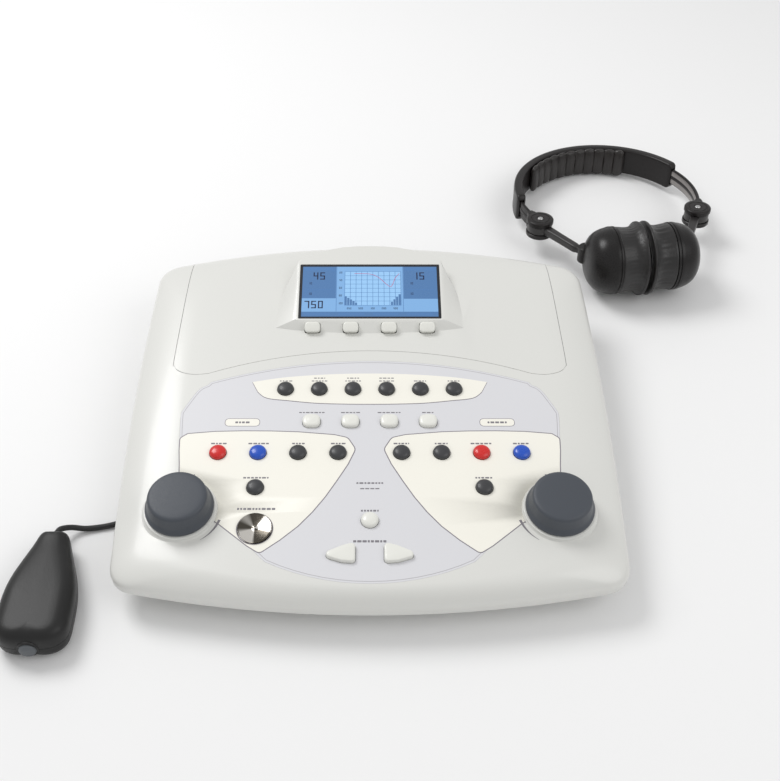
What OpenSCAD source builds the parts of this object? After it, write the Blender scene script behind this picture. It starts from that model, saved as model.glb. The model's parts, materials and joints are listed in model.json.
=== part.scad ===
// Desktop diagnostic audiometer with a patient response handset on a cord and a folding headset.
// Millimetres. The origin is on the table under the middle of the console.
// +X is the operator's right, +Y is away from the operator and +Z is up.

/* [Console] */
// Width of the console between its front corners
body_w = 373; // [371:1:376]
// Length of the sloping top from front corner to back corner
body_l = 319; // [316:1:324]
// How far the front edge bows forward in the middle
front_bow = 20; // [18:1:22]
// How far the back edge bows backward in the middle
back_bow = 28; // [25:1:30]
// How far each side bows outward in the middle
side_bow = 4; // [3:0.5:5]
// Plan radius of the console corners
corner_r = 14; // [11:1:17]
// Slope of the control surface
slope = 5.5; // [5:0.5:6]
// Height of the control surface at the front corners
front_h = 42.5; // [42:0.5:46]
// How far the top surface falls away towards its rim
crown = 11; // [9:0.5:12]
// Height of the rounded rim below the fall of the surface
rim_h = 9; // [8:0.5:10]
// Wall thickness of the console mouldings
wall = 2.5; // [2.2:0.1:2.8]
// Height of the rubber feet
foot_h = 3; // [3:0.5:4]

/* [Control panel] */
// Diameter of the round keys
key_d = 13; // [12:0.5:13.5]
// How far the key caps stand above the panel
key_rise = 4; // [3.5:0.1:4.5]
// Stroke of every key
key_travel = 1.4; // [1:0.1:1.6]
// Radial gap between a key and its hole
key_gap = 0.3; // [0.25:0.05:0.4]
// Distance between neighbouring keys in the two function rows
row_pitch = 30.6; // [30:0.1:31]
// Distance between neighbouring preset keys
preset_pitch = 27; // [26.5:0.1:27.4]
// Width of the white option keys
option_w = 14; // [13:0.5:15]
// Diameter of the metal interrupter button
interrupter_d = 25; // [23:0.5:26]
// Thickness of the printed overlay plate
overlay_t = 0.8; // [0.6:0.1:1]
// Depth of the circuit board below the panel
board_drop = 15; // [14.5:0.1:15.5]

/* [Knobs] */
// Largest diameter of the attenuator knobs
knob_d = 50.5; // [48:0.5:51]
// Diameter of the flat of the knob top
knob_top_d = 42; // [40:0.5:44]
// Height of a knob
knob_h = 16.5; // [15:0.5:18]
// Distance of each knob axis from the middle
knob_x = 139; // [138:0.5:139.5]
// Distance of each knob axis from the front corners
knob_v = 55; // [54:0.5:56]
// Diameter of the knob shafts
shaft_d = 6; // [6:0.1:6.3]

/* [Display] */
// Width of the display window
window_w = 120.5; // [118:0.5:122]
// Length of the display window
window_l = 59.5; // [58:0.5:60.5]
// Slope of the display window against the panel
window_tilt = 5.6; // [5:0.2:6]
// Width of the soft keys
soft_w = 13; // [12:0.5:14]
// Distance between the soft keys
soft_pitch = 32; // [31:0.5:32.5]

/* [Rear sockets] */
// Bore of the audio sockets for standard quarter-inch plugs
jack_bore_d = 6.5; // [6.5:0.05:6.6]
// Diameter of the plug shaft
plug_d = 6.35; // [6.3:0.05:6.35]
// Distance between neighbouring sockets
jack_pitch = 24; // [22:0.5:25]

/* [Response handset] */
// Greatest width of the handset
handset_w = 53; // [51:0.5:55]
// Length of the handset
handset_l = 97; // [94:1:100]
// Thickness of the handset
handset_t = 28; // [26:0.5:30]
// Diameter of the response button
response_d = 12.5; // [11.5:0.5:13]
// Diameter of the cord
cord_d = 4.5; // [4.2:0.1:4.6]

/* [Headset] */
// Diameter of the ear pads
ear_pad_d = 70; // [68:0.5:71]
// Distance between the outer ends of the two ear cups
cups_w = 107; // [106:0.5:109]
// Outer radius of the headband arc
band_r = 95; // [94:0.5:97]
// Width of the headband
band_w = 28; // [26:0.5:30]
// Radial thickness of the headband
band_t = 9; // [9:0.2:10]
// Gap between the two ear pads at rest
pad_gap = 4; // [3.5:0.1:5]

/* [Hidden] */

$fn = 40;
steps = 10;
front_y = -163;
hw = body_w / 2;
lip_h = -(crown + rim_h);
key_flange_h = -wall - 0.1;
switch_top = -8.6 - key_travel - 0.2;
key_r = key_d / 2;
seam = 0.2;

// Colours
shell_c = [0.87, 0.87, 0.85];
overlay_c = [0.80, 0.80, 0.83];
dark_c = [0.20, 0.21, 0.22];
white_c = [0.93, 0.93, 0.90];
red_c = [0.80, 0.12, 0.12];
blue_c = [0.10, 0.25, 0.65];
slate_c = [0.30, 0.32, 0.34];
black_c = [0.12, 0.11, 0.11];
metal_c = [0.75, 0.75, 0.76];
board_c = [0.10, 0.36, 0.20];

// ---------- frames ----------

// Panel frame: x, distance v up the slope from the front corners, height h above the panel
module on_panel() {
  translate([0, front_y, front_h]) rotate([slope, 0, 0]) children();
}

module at_panel(x, v, h = 0) {
  on_panel() translate([x, v, h]) children();
}

// Display frame: on the hood's top plane, at the middle of the window's front edge
hood_v = 241;
hood_h = 6.4;

module on_hood() {
  at_panel(0, hood_v, hood_h) rotate([window_tilt, 0, 0]) children();
}

function panel_y(v, h) = front_y + v * cos(slope) - h * sin(slope);
function panel_z(v, h) = front_h + v * sin(slope) + h * cos(slope);

// ---------- console outline and shell ----------

function bow(t) = 4 * t * (1 - t);

// Plan of the console, drawn in from its edges by a side, front and back distance
function plan_pts(s, f, b) = concat(
  [for (i = [0:steps - 1]) let (t = i / steps)
    [(hw - s) * (2 * t - 1), f - front_bow * bow(t)]],
  [for (i = [0:steps - 1]) let (t = i / steps)
    [hw - s + side_bow * bow(t), f + (body_l - b - f) * t]],
  [for (i = [0:steps - 1]) let (t = i / steps)
    [(hw - s) * (1 - 2 * t), body_l - b + back_bow * bow(t)]],
  [for (i = [0:steps - 1]) let (t = i / steps)
    [s - hw - side_bow * bow(t), body_l - b + (f + b - body_l) * t]]
);

module plan(s, f, b, r) {
  offset(r = r, $fn = 24) offset(delta = -r) polygon(plan_pts(s, f, b));
}

side_fall = 42;
front_fall = 13;
back_fall = 42;

// Each layer of the shell: share of the fall distance, share of the crown, share of the rim
shell_layers = [
  [1, 0, 0], [0.72, 0.08, 0], [0.46, 0.29, 0], [0.22, 0.6, 0.01], [0.09, 0.81, 0.05],
  [0.025, 0.94, 0.16], [0, 1, 0.42], [0.008, 1, 1]
];

module shell_hull(inset, drop, reach) {
  hull() for (l = shell_layers) {
    h = -crown * l[1] - rim_h * l[2] - drop - (l[2] == 1 ? reach : 0);
    translate([0, 0, h]) linear_extrude(0.01)
      plan(side_fall * l[0] + inset, front_fall * l[0] + inset, back_fall * l[0] + inset,
           corner_r + 16 * l[0]);
  }
}

// ---------- display deck outline ----------

deck_arc_c = 211;
deck_arc_r = 362;
deck_half_w = 157.5;
function deck_front(x) = deck_arc_c + seam - (deck_arc_r - sqrt(deck_arc_r * deck_arc_r - x * x));

deck_side = [
  [131, deck_front(131)], [141, 185.6], [150, 187], [156.5, 190.5], [159.8, 195.5],
  [160.7, 202], [159.1, 260], [deck_half_w, body_l + 2], [deck_half_w, body_l + 46]
];

function mirrored(pts) = [for (i = [len(pts) - 1:-1:0]) [-pts[i][0], pts[i][1]]];

module deck_plan() {
  polygon(concat(
    [for (x = [-120:20:120]) [x, deck_front(x)]],
    deck_side,
    mirrored(deck_side)
  ));
}

// ---------- screws, posts and bosses ----------

cover_posts = [[134, -70], [134, 3], [56, -150.5]];
deck_posts = [[122, body_l - 183], [140, 48]];
cover_post_top = 19;
deck_post_top = 44;

module mirror_pair() {
  children();
  mirror([1, 0, 0]) children();
}

module at_posts(list) {
  for (p = list) mirror_pair() translate([p[0], p[1], 0]) children();
}

module boss(top) {
  translate([0, 0, top + 0.05]) cylinder(r = 4.2, h = 70);
}

module boss_bore(top) {
  translate([0, 0, top - 1]) cylinder(r = 1.65, h = 13);
}

module at_all_posts() {
  at_posts(cover_posts) children(0);
  at_posts(deck_posts) children(1);
}

// ---------- top cover ----------

function stim_x(i) = 24.3 + row_pitch * i;

module for_round_holes() {
  for (i = [0:5]) translate([preset_pitch * (i - 2.5), 170, 0]) children();
  for (i = [0:3], s = [-1, 1]) translate([s * stim_x(i), 107, 0]) children();
  for (s = [-1, 1]) translate([s * 85.5, 75, 0]) children();
  translate([0, 46, 0]) children();
}

module rounded(w, d, r) {
  offset(r = r, $fn = 16) square([w - 2 * r, d - 2 * r], center = true);
}

// Right-hand frequency key, drawn as a fin that points outward
module fin(grow) {
  offset(r = 1.5 + grow, $fn = 16) polygon([
    [11.7, 11.7], [11.7, 24.7], [19, 22.5], [29.6, 17.6], [29.6, 15.6], [20, 12.4]
  ]);
}

option_x = 30.4;

module panel_holes(deep) {
  translate([0, 0, -deep]) {
    for_round_holes() cylinder(r = key_r + key_gap, h = 2 * deep);
    for (i = [0:3]) translate([option_x * (i - 1.5), 137, 0])
      linear_extrude(2 * deep) rounded(option_w + 2 * key_gap, 12 + 2 * key_gap, 2.6);
    linear_extrude(2 * deep) fin(key_gap);
    linear_extrude(2 * deep) mirror([1, 0]) fin(key_gap);
    translate([-83.4, 39, 0]) cylinder(r = interrupter_d / 2 + key_gap, h = 2 * deep);
  }
}

overlay_arc_c = 200;
overlay_arc_r = deck_arc_r + 11;
function overlay_top(x) = overlay_arc_c - (overlay_arc_r - sqrt(overlay_arc_r * overlay_arc_r - x * x));

overlay_side = [
  [130, 174.5], [135, 171.5], [139, 166], [144, 156], [147.2, 149], [148.5, 143],
  [146.5, 118], [142.7, 93], [141, 75], [127, 56], [109.5, 45.3], [95, 33.3], [80, 17]
];

module overlay_plan() {
  difference() {
    polygon(concat(
      [for (x = [-120:20:120]) [x, overlay_top(x)]],
      overlay_side,
      [for (a = [28:-7:-28]) [150 * sin(a) * 1.06, 144 - 150 * cos(a)]],
      mirrored(overlay_side)
    ));
    for (s = [-1, 1]) translate([s * knob_x, knob_v]) circle(r = pedestal_r + 0.5, $fn = 64);
  }
}

pedestal_r = 26.7;
pedestal_h = 3;

module top_cover() {
  color(shell_c) difference() {
    union() {
      intersection() {
        on_panel() shell_hull(0, 0, 0);
        union() {
          difference() {
            translate([-250, -250, 0]) cube([500, 500, 120]);
            on_panel() shell_hull(wall, wall, 6);
          }
          at_posts(cover_posts) boss(cover_post_top);
        }
      }
      for (s = [-1, 1]) at_panel(s * knob_x, knob_v, -9)
        cylinder(r = pedestal_r, h = 9 + pedestal_h, $fn = 64);
    }
    for (s = [-1, 1]) at_panel(s * knob_x, knob_v, -10)
      cylinder(r = pedestal_r - wall, h = 10 + pedestal_h - wall);
    on_panel() translate([0, 0, -60]) linear_extrude(100) offset(delta = seam) deck_plan();
    on_panel() translate([0, 0, -overlay_t]) linear_extrude(20) overlay_plan();
    on_panel() panel_holes(5);
    for (s = [-1, 1]) at_panel(s * knob_x, knob_v, -3) cylinder(r = 4.9, h = 10);
    at_posts(cover_posts) boss_bore(cover_post_top);
  }
}

module control_overlay() {
  color(overlay_c) on_panel() difference() {
    translate([0, 0, -overlay_t + 0.02]) linear_extrude(overlay_t - 0.02)
      offset(delta = -0.1) overlay_plan();
    panel_holes(5);
  }
}

// ---------- display deck and hood ----------

hood_base = [
  [45, 229.9], [84.5, 235.6], [81.5, 252], [78, 271], [66, 303], [50, 324], [25, 333]
];
hood_top = [[62, -0.8], [62, 61], [58, 67], [35, 77]];

module hood_hull(t, low) {
  hull() {
    on_panel() translate([0, 0, -low]) linear_extrude(0.1) offset(delta = -t)
      polygon(concat([[0, 227.7]], hood_base, [[0, 336]], mirrored(hood_base)));
    on_hood() translate([0, 0, -t - 0.1]) linear_extrude(0.1) offset(delta = -t * 0.4)
      polygon(concat(hood_top, [[0, 81]], mirrored(hood_top)));
  }
}

hood_wall = 2.6;
window_t = 1.6;
facet = 30;

module on_soft_key(i) {
  at_panel(soft_pitch * (i - 1.5), 233.5, 4.4) rotate([facet, 0, 0]) children();
}

module display_deck() {
  color(shell_c) difference() {
    union() {
      intersection() {
        on_panel() shell_hull(0, 0, 0);
        on_panel() translate([0, 0, -60]) linear_extrude(100) offset(delta = -seam) deck_plan();
        union() {
          difference() {
            translate([-250, -50, 0]) cube([500, 300, 120]);
            on_panel() shell_hull(wall, wall, 6);
          }
          at_posts(deck_posts) boss(deck_post_top);
        }
      }
      hood_hull(0, 2);
    }
    hood_hull(hood_wall, 6);
    on_hood() translate([-window_w / 2, 0.5, -window_t]) cube([window_w, window_l, 10]);
    on_hood() translate([-window_w / 2 + 4, 4.5, -10]) cube([window_w - 8, window_l - 8, 12]);
    for (i = [0:3]) on_soft_key(i) translate([0, 0, -7])
      linear_extrude(20) rounded(soft_w + 2 * key_gap, 8.6 + 2 * key_gap, 2.4);
    at_posts(deck_posts) boss_bore(deck_post_top);
  }
}

module lcd_window() {
  color([0.25, 0.45, 0.75]) on_hood() translate([-window_w / 2 + 0.1, 0.6, -window_t + 0.02])
    cube([window_w - 0.2, window_l - 0.2, window_t - 0.02]);
}

// Display panel on its carrier board, with the four soft-key switches on a bent strip
module lcd_module() {
  color(slate_c) {
    on_hood() {
      translate([-57, 3, -hood_wall - 3.7]) cube([114, window_l - 4, 3.6]);
      translate([-59, 6, -hood_wall - 5.4]) cube([118, window_l - 8, 1.6]);
    }
    for (i = [0:3]) on_soft_key(i) {
      translate([-3, -3, -14.5]) cube([6, 6, 3.4]);
      translate([0, 0, -11.1]) cylinder(r = 1.6, h = 1);
    }
    at_panel(0, 233.5, 4.4) rotate([facet, 0, 0]) translate([-56, -4, -16.1]) cube([112, 8, 1.5]);
  }
}

// ---------- base tray ----------

bay_w = 224;
bay_y = body_l - 169;
bay_z0 = 10;
bay_z1 = 46;

module tray_hull(t) {
  hull() {
    translate([0, front_y + 2, foot_h + t]) linear_extrude(0.1)
      plan(17 + t, 15.5 + t, 24 + t, corner_r);
    on_panel() translate([0, 0, lip_h - 1]) linear_extrude(4 + 2 * t)
      plan(3.2 + t, 3.2 + t, 3.2 + t, corner_r - 2);
  }
}

bay_wall = 2;

// Space of the rear bay, from the face of its panel to well outside, grown by g
module bay_block(g) {
  translate([-bay_w / 2 - g, bay_y + bay_wall - g, bay_z0 - g])
    cube([bay_w + 2 * g, 90, bay_z1 - bay_z0 + 2 * g]);
}

board_posts = [[110, 40], [110, 170], [25, 170]];

module base_tray() {
  color(shell_c) difference() {
    union() {
      difference() {
        tray_hull(0);
        tray_hull(wall);
      }
      intersection() {
        tray_hull(0);
        union() {
          at_all_posts() {
            cylinder(r = 5.6, h = cover_post_top);
            cylinder(r = 5.6, h = deck_post_top);
          }
          for (p = board_posts, s = [-1, 1]) translate([s * p[0], panel_y(p[1], 0), 0])
            cylinder(r = 3.2, h = panel_z(p[1] - 4, -board_drop - 1.7));
        }
      }
    }
    bay_block(bay_wall + 0.15);
    at_all_posts() {
      screw_hole(cover_post_top);
      screw_hole(deck_post_top);
    }
  }
}

module screw_hole(top) {
  cylinder(r = 2, h = top + 20);
  cylinder(r = 3.7, h = top - 5);
}

module rubber_feet() {
  color(black_c) {
    for (x = [-150, 150], y = [-128, body_l - 201]) translate([x, y, 0]) foot(9);
    foot(11);
  }
}

module foot(r) {
  cylinder(r1 = r - 1, r2 = r, h = 1);
  translate([0, 0, 1]) cylinder(r = r, h = foot_h - 1);
}

module case_screws() {
  color(metal_c) at_all_posts() {
    case_screw(cover_post_top);
    case_screw(deck_post_top);
  }
}

module case_screw(top) {
  translate([0, 0, top - 7]) cylinder(r = 3.2, h = 2);
  translate([0, 0, top - 5]) cylinder(r = 1.55, h = 14);
}

// ---------- electronics ----------

module main_board() {
  color(board_c) on_panel() translate([0, 0, -board_drop - 1.6]) difference() {
    linear_extrude(1.6) union() {
      translate([-124, 31]) square([248, 154]);
      translate([-40, 3]) square([80, 30]);
    }
    for (p = board_posts, s = [-1, 1]) translate([s * p[0], p[1], -1]) cylinder(r = 1.6, h = 4);
  }
}

module switch_body() {
  translate([-3, -3, -board_drop]) cube([6, 6, 3.4]);
  translate([0, 0, -board_drop + 3.4]) cylinder(r = 1.6, h = switch_top + board_drop - 3.4);
}

module tact_switches() {
  color(dark_c) on_panel() {
    for_round_holes() switch_body();
    for (i = [0:3]) translate([option_x * (i - 1.5), 137, 0]) switch_body();
    for (s = [-1, 1]) translate([s * 17, 17, 0]) switch_body();
    translate([-83.4, 39, 0]) switch_body();
  }
}

module encoders() {
  color(metal_c) for (s = [-1, 1]) at_panel(s * knob_x, knob_v, 0) difference() {
    union() {
      translate([-7, -7, -16]) cube([14, 14, 7]);
      translate([0, 0, -9.5]) cylinder(r = 4.6, h = 9.5 + pedestal_h - 0.5);
      translate([0, 0, pedestal_h - wall - 2.6]) cylinder(r = 7, h = 2.5);
    }
    translate([0, 0, -15]) cylinder(r = shaft_d / 2 + 0.06, h = 40);
  }
}

module rear_panel() {
  color(dark_c) difference() {
    intersection() {
      tray_hull(0.3);
      bay_block(bay_wall);
    }
    bay_block(0);
    for (i = [0:4]) at_jack(i) cylinder(r = 5.8, h = 20, center = true);
    translate([48, bay_y, 28]) rotate([-90, 0, 0]) cylinder(r = 5.3, h = 10, center = true);
    translate([74 - 6.2, bay_y - 5, 22.8]) cube([12.4, 10, 11.4]);
  }
}

jack_z = 28;
jack_x0 = -84;

module at_jack(i) {
  translate([jack_x0 + jack_pitch * i, bay_y, jack_z]) rotate([-90, 0, 0]) children();
}

module rear_sockets() {
  color(black_c) {
    for (i = [0:4]) at_jack(i) difference() {
      union() {
        translate([-7.5, -8, -33]) cube([15, 16, 32.9]);
        translate([0, 0, -0.2]) cylinder(r = 5.7, h = 6.2);
      }
      translate([0, 0, -30]) cylinder(r = jack_bore_d / 2, h = 40);
    }
    translate([48, bay_y, 28]) rotate([-90, 0, 0]) difference() {
      union() {
        translate([-6.5, -6.5, -13]) cube([13, 13, 12.9]);
        translate([0, 0, -0.2]) cylinder(r = 5.2, h = 5);
      }
      translate([0, 0, -9]) cylinder(r = 3, h = 20);
      translate([0, 0, -9]) cylinder(r = 2.75, h = 4);
    }
    translate([74 - 6, bay_y - 15, 23]) difference() {
      cube([12, 18.5, 11]);
      translate([1.8, 5, 1.8]) cube([8.4, 20, 7.4]);
    }
  }
}

// ---------- keys ----------

module round_key(x, v, c, r = key_r) {
  color(c) at_panel(x, v) {
    translate([0, 0, -2.3]) cylinder(r = r, h = 2.3 + key_rise - 0.9);
    translate([0, 0, key_rise - 0.9]) cylinder(r1 = r, r2 = r - 0.8, h = 0.9);
    key_foot(r + 1.3);
  }
}

// Flange under the cover and the stem down to the switch
module key_foot(r) {
  translate([0, 0, key_flange_h - 1.2]) cylinder(r = r, h = 1.2);
  translate([0, 0, key_flange_h - 0.1]) cylinder(r = r - 1.6, h = 0.4);
  translate([0, 0, -8.6]) cylinder(r = 1.8, h = 8.6 + key_flange_h - 1);
}

module square_key(x, v, w, d) {
  color(white_c) at_panel(x, v) {
    translate([0, 0, -2.8]) linear_extrude(2.8 + key_rise - 1) rounded(w, d, 2.4);
    translate([0, 0, key_rise - 1.01]) linear_extrude(1.01) rounded(w - 1.2, d - 1.2, 2);
    translate([-w / 2 - 1, -d / 2 - 1, key_flange_h - 1.2]) cube([w + 2, d + 2, 1.2]);
    translate([0, 0, -8.6]) cylinder(r = 1.8, h = 8.6 + key_flange_h - 1);
  }
}

module preset_key(i) round_key(preset_pitch * (i - 2.5), 170, dark_c);
module option_key(i) square_key(option_x * (i - 1.5), 137, option_w, 12);

module soft_key(i) {
  color(white_c) on_soft_key(i) {
    translate([0, 0, -5.6]) linear_extrude(7) rounded(soft_w, 8.6, 2.2);
    translate([0, 0, 1.39]) linear_extrude(0.8) rounded(soft_w - 1.2, 7.4, 1.8);
    translate([0, 0, -10.1 + key_travel + 0.2]) cylinder(r = 1.7, h = 5);
  }
}

module frequency_key(s) {
  color(white_c) on_panel() {
    mirror([s < 0 ? 1 : 0, 0, 0]) {
      translate([0, 0, -2.8]) linear_extrude(2.8 + key_rise - 1) fin(0);
      translate([0, 0, key_rise - 1.01]) linear_extrude(1.01) fin(-0.6);
      translate([0, 0, key_flange_h - 1.2]) linear_extrude(1.2) fin(0.9);
      translate([17, 17, -8.6]) cylinder(r = 1.8, h = 8.6 + key_flange_h - 1);
    }
  }
}

module interrupter_button() {
  r = interrupter_d / 2;
  color(metal_c) at_panel(-83.4, 39) {
    difference() {
      translate([0, 0, -2.3]) cylinder(r = r, h = 4.8);
      translate([0, 0, 0.7]) cylinder(r1 = 0.4, r2 = r - 0.8, h = 2);
    }
    key_foot(r + 1.2);
  }
}

// ---------- knobs ----------

module knob(s) {
  r = knob_d / 2;
  t = knob_top_d / 2;
  color(slate_c) at_panel(s * knob_x, knob_v, pedestal_h + 0.5) {
    difference() {
      rotate_extrude($fn = 64) polygon([
        [0, 0], [r - 0.6, 0], [r, 0.8], [r, 2], [r - 0.8, 3.4], [t + 1, knob_h - 2.6],
        [t, knob_h - 1.2], [t - 1.8, knob_h - 0.4], [0, knob_h]
      ]);
      difference() {
        translate([0, 0, -1]) cylinder(r = r - 3.2, h = knob_h - 4.5);
        translate([0, 0, 0.6]) cylinder(r = 7.5, h = knob_h);
      }
      translate([0, 0, -1]) cylinder(r = shaft_d / 2 + 0.05, h = knob_h - 3);
    }
    translate([0, 0, -14]) cylinder(r = shaft_d / 2, h = knob_h + 9.5);
  }
}

// ---------- response handset ----------

handset_x = -237;
handset_y = -107;
button_y = -handset_l;

// Handset frame: origin on the table under the cord end, +Y towards the cord
module on_handset() {
  translate([handset_x, handset_y, 0]) children();
}

module handset_solid(g) {
  w = handset_w / 2;
  z = handset_t / 2;
  translate([0, 0, z]) hull() {
    for (s = [-1, 1]) {
      handset_disc(s * (w - 15), button_y + 15, 15, z, g);
      handset_disc(s * (w - 20.5), button_y + 40, 20, z, g);
      handset_disc(s * 7, -4.2, 4, z - 3.5, g);
    }
  }
}

module handset_disc(x, y, r, z, g) {
  translate([x, y, 0]) {
    translate([0, 0, -z + 3 + g]) cylinder(r = r - g, h = 2 * z - 6 - 2 * g, $fn = 24);
    translate([0, 0, -z + g]) cylinder(r = r - min(4, r * 0.6) - g, h = 2 * z - 2 * g, $fn = 24);
  }
}

module button_bore(r, deep) {
  translate([0, button_y - 5, handset_t / 2]) rotate([-90, 0, 0]) cylinder(r = r, h = deep);
}

module cord_bore() {
  translate([0, -12, handset_t / 2]) rotate([-90, 0, 0]) cylinder(r = 3.05, h = 30);
}

module handset_half(up) {
  color(black_c) on_handset() difference() {
    intersection() {
      handset_solid(0);
      translate([-40, -110, up ? handset_t / 2 + 0.1 : -1]) cube([80, 120, handset_t / 2 + 0.9]);
    }
    handset_solid(2.2);
    button_bore(response_d / 2 + 0.3, 12);
    cord_bore();
  }
}

module response_upper_shell() handset_half(true);
module response_lower_shell() handset_half(false);

module response_button() {
  color(dark_c) on_handset() translate([0, button_y - 3.5, handset_t / 2]) rotate([-90, 0, 0]) {
    cylinder(r1 = response_d / 2 - 1, r2 = response_d / 2, h = 1);
    translate([0, 0, 1]) cylinder(r = response_d / 2, h = 11);
    translate([0, 0, 8.5]) cylinder(r = response_d / 2 + 1.5, h = 1.5);
  }
}

module response_strain_relief() {
  color(black_c) on_handset() translate([0, -10, handset_t / 2]) rotate([-90, 0, 0]) difference() {
    union() {
      cylinder(r = 5, h = 1.6);
      cylinder(r = 2.95, h = 12);
      translate([0, 0, 12]) cylinder(r1 = 2.95, r2 = 2.75, h = 2);
    }
    translate([0, 0, -1]) cylinder(r = cord_d / 2 + 0.3, h = 40);
  }
}

// ---------- cord and coil ----------

// A tube swept along route points as one polyhedron
function unit(v) = v / norm(v);
function along(p, i) = let (n = len(p))
  unit(p[min(i + 1, n - 1)] - p[max(i - 1, 0)]);

module tube(p, r, sides) {
  n = len(p);
  pts = [for (i = [0:n - 1]) let (
      t = along(p, i),
      a = unit(cross(t, abs(t[2]) > 0.9 ? [1, 0, 0] : [0, 0, 1])),
      b = cross(a, t)
    ) for (k = [0:sides - 1]) p[i] + r * (cos(360 * k / sides) * a + sin(360 * k / sides) * b)];
  faces = concat(
    [[for (k = [0:sides - 1]) k]],
    [for (i = [0:n - 2], k = [0:sides - 1]) let (j = (k + 1) % sides)
      [i * sides + k, (i + 1) * sides + k, (i + 1) * sides + j, i * sides + j]],
    [[for (k = [sides - 1:-1:0]) (n - 1) * sides + k]]
  );
  polyhedron(points = pts, faces = faces, convexity = 10);
}

// A smooth run of points through the route, by cubic pieces
function smooth(p, m) = concat(
  [for (i = [0:len(p) - 2], k = [0:m - 1]) let (
      t = k / m,
      a = p[max(i - 1, 0)], b = p[i], c = p[i + 1], d = p[min(i + 2, len(p) - 1)]
    ) b + 0.5 * ((c - a) * t + (2 * a - 5 * b + 4 * c - d) * t * t
      + (3 * b - a - 3 * c + d) * t * t * t)],
  [p[len(p) - 1]]
);

cord_r = cord_d / 2;
cord_z = cord_r + 0.05;
// The spare cord: in along a lower spiral, up in the half turn where it reverses, and out along
// an upper spiral
coil_c = [-122, 193];
coil_in = 10.5;
coil_turns = 9.375;
coil_pitch = cord_d + 0.7;
coil_rise = cord_d + 0.6;
coil_steps = 24;
coil_half = coil_turns / 2;

function coil_r(t) = coil_in + coil_pitch * abs(coil_half - t);
function climb(t) = min(max(t - coil_half + 0.25, 0), 0.5) / 0.5;
function coil_z(t) = cord_z + coil_rise * (1 - cos(180 * climb(t))) / 2
  + 1.5 * pow(max(t - coil_turns + 0.12, 0) / 0.12, 2);
function coil_at(t) = [
  coil_c[0] - coil_r(t) * cos(360 * t),
  coil_c[1] + coil_r(t) * sin(360 * t),
  coil_z(t)
];

plug_end = [jack_x0, bay_y + 30.7, jack_z];
loop_pts = [for (i = [0:coil_turns * coil_steps]) coil_at(i / coil_steps)];
last_loop = coil_at(coil_turns);
link_route = [
  last_loop + [0.18, -0.23, 0.1], [-90.2, 208.5, 13], [-85.4, 199, 19.5], [-84.1, 190.5, 25.4],
  plug_end + [0, cord_d, -0.3], plug_end
];

// Least gap between turns, over pairs of rings at least half a loop apart
coil_gap = min([for (i = [0:2:len(loop_pts) - 1], j = [i + 12:1:len(loop_pts) - 1])
  norm(loop_pts[i] - loop_pts[j])]) - cord_d;
echo("least gap between the turns of the coil, mm", coil_gap);

cord_start = [handset_x, handset_y + 4.1, handset_t / 2];

cord_route = [
  cord_start, cord_start + [0, 1.4, -0.05], [handset_x + 1.6, handset_y + 9.6, handset_t / 2 - 2.4],
  [-229.5, -92.6, 7], [-220.5, -90.9, 3.4], [-211, -89, cord_z], [-200.5, -86.6, cord_z],
  [-190.5, -82, cord_z], [-185, -72.5, cord_z], [-184, -58, cord_z], [-184, -25, cord_z],
  [-184, 10, cord_z], [-184, 45, cord_z], [-184, 80, cord_z], [-184, 112, cord_z],
  [-182.5, 132, cord_z], [-177, 150, cord_z], [-168.5, 164, cord_z], [-161, 176, cord_z],
  coil_at(0) + [-0.4, -6, 0], coil_at(0) + [0, -0.1, 0]
];

// The free stretches: from the handset to the coil, and from the coil to the plug
module response_cord() {
  color(black_c) {
    tube(smooth(cord_route, 3), cord_r, 8);
    tube(smooth(link_route, 3), cord_r, 8);
  }
}

module response_coil() {
  color(black_c) tube(loop_pts, cord_r, 6);
}

module response_plug() {
  color(black_c) at_jack(0) {
    translate([0, 0, -27.5]) cylinder(r1 = 1.4, r2 = plug_d / 2, h = 3);
    translate([0, 0, -24.5]) cylinder(r = plug_d / 2, h = 31.5);
    translate([0, 0, 6.6]) cylinder(r = 6.5, h = 16);
    translate([0, 0, 22.6]) cylinder(r1 = 5, r2 = cord_r + 1, h = 8);
  }
}

// ---------- headset ----------

headset_at = [256.5, 206];
headset_turn = 7;
cup_r = ear_pad_d / 2;
arc_c = 112;
crown_y = arc_c + band_r;
pad_half = band_w / 2 + 1.8;
headset_tilt = asin((cup_r - pad_half) / (crown_y - 4));
tilt_x = cups_w / 2 - 2.5;
tilt_y = 17;
band_turn = 14;
band_half = 80;
channel = 46;
strap_in = [64, 50];
slider_t = 4.6;
slider_w = 18;
slider_r = band_r - band_t / 2;
hinge_a = 117.5;
hinge_x = slider_r * sin(hinge_a);
hinge_y = arc_c + slider_r * cos(hinge_a);
pad_back = 26;

// Headset frame: X through the two cups, Y from the cups to the crown, Z off the table
module on_headset() {
  translate([headset_at[0], headset_at[1], cup_r + 0.05])
    rotate([0, 0, headset_turn]) rotate([-headset_tilt, 0, 0]) children();
}

// Part of a ring about the middle of the headband arc; angles run from the crown to the right
module arc_piece(from, to) {
  translate([0, arc_c, 0]) rotate([0, 0, 90 - to]) rotate_extrude(angle = to - from, $fn = 72)
    children();
}

module headband() {
  color(black_c) on_headset() difference() {
    arc_piece(-band_half - band_turn, band_half - band_turn)
      translate([slider_r, 0]) offset(r = 2.4, $fn = 12)
        square([band_t - 4.8, band_w - 4.8], center = true);
    for (s = [-1, 1]) arc_piece(
        s < 0 ? -band_half - band_turn - 1 : band_half - band_turn - channel,
        s < 0 ? -band_half - band_turn + channel : band_half - band_turn + 1)
      translate([slider_r, 0]) square([slider_t + 0.6, slider_w + 0.6], center = true);
  }
}

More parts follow.
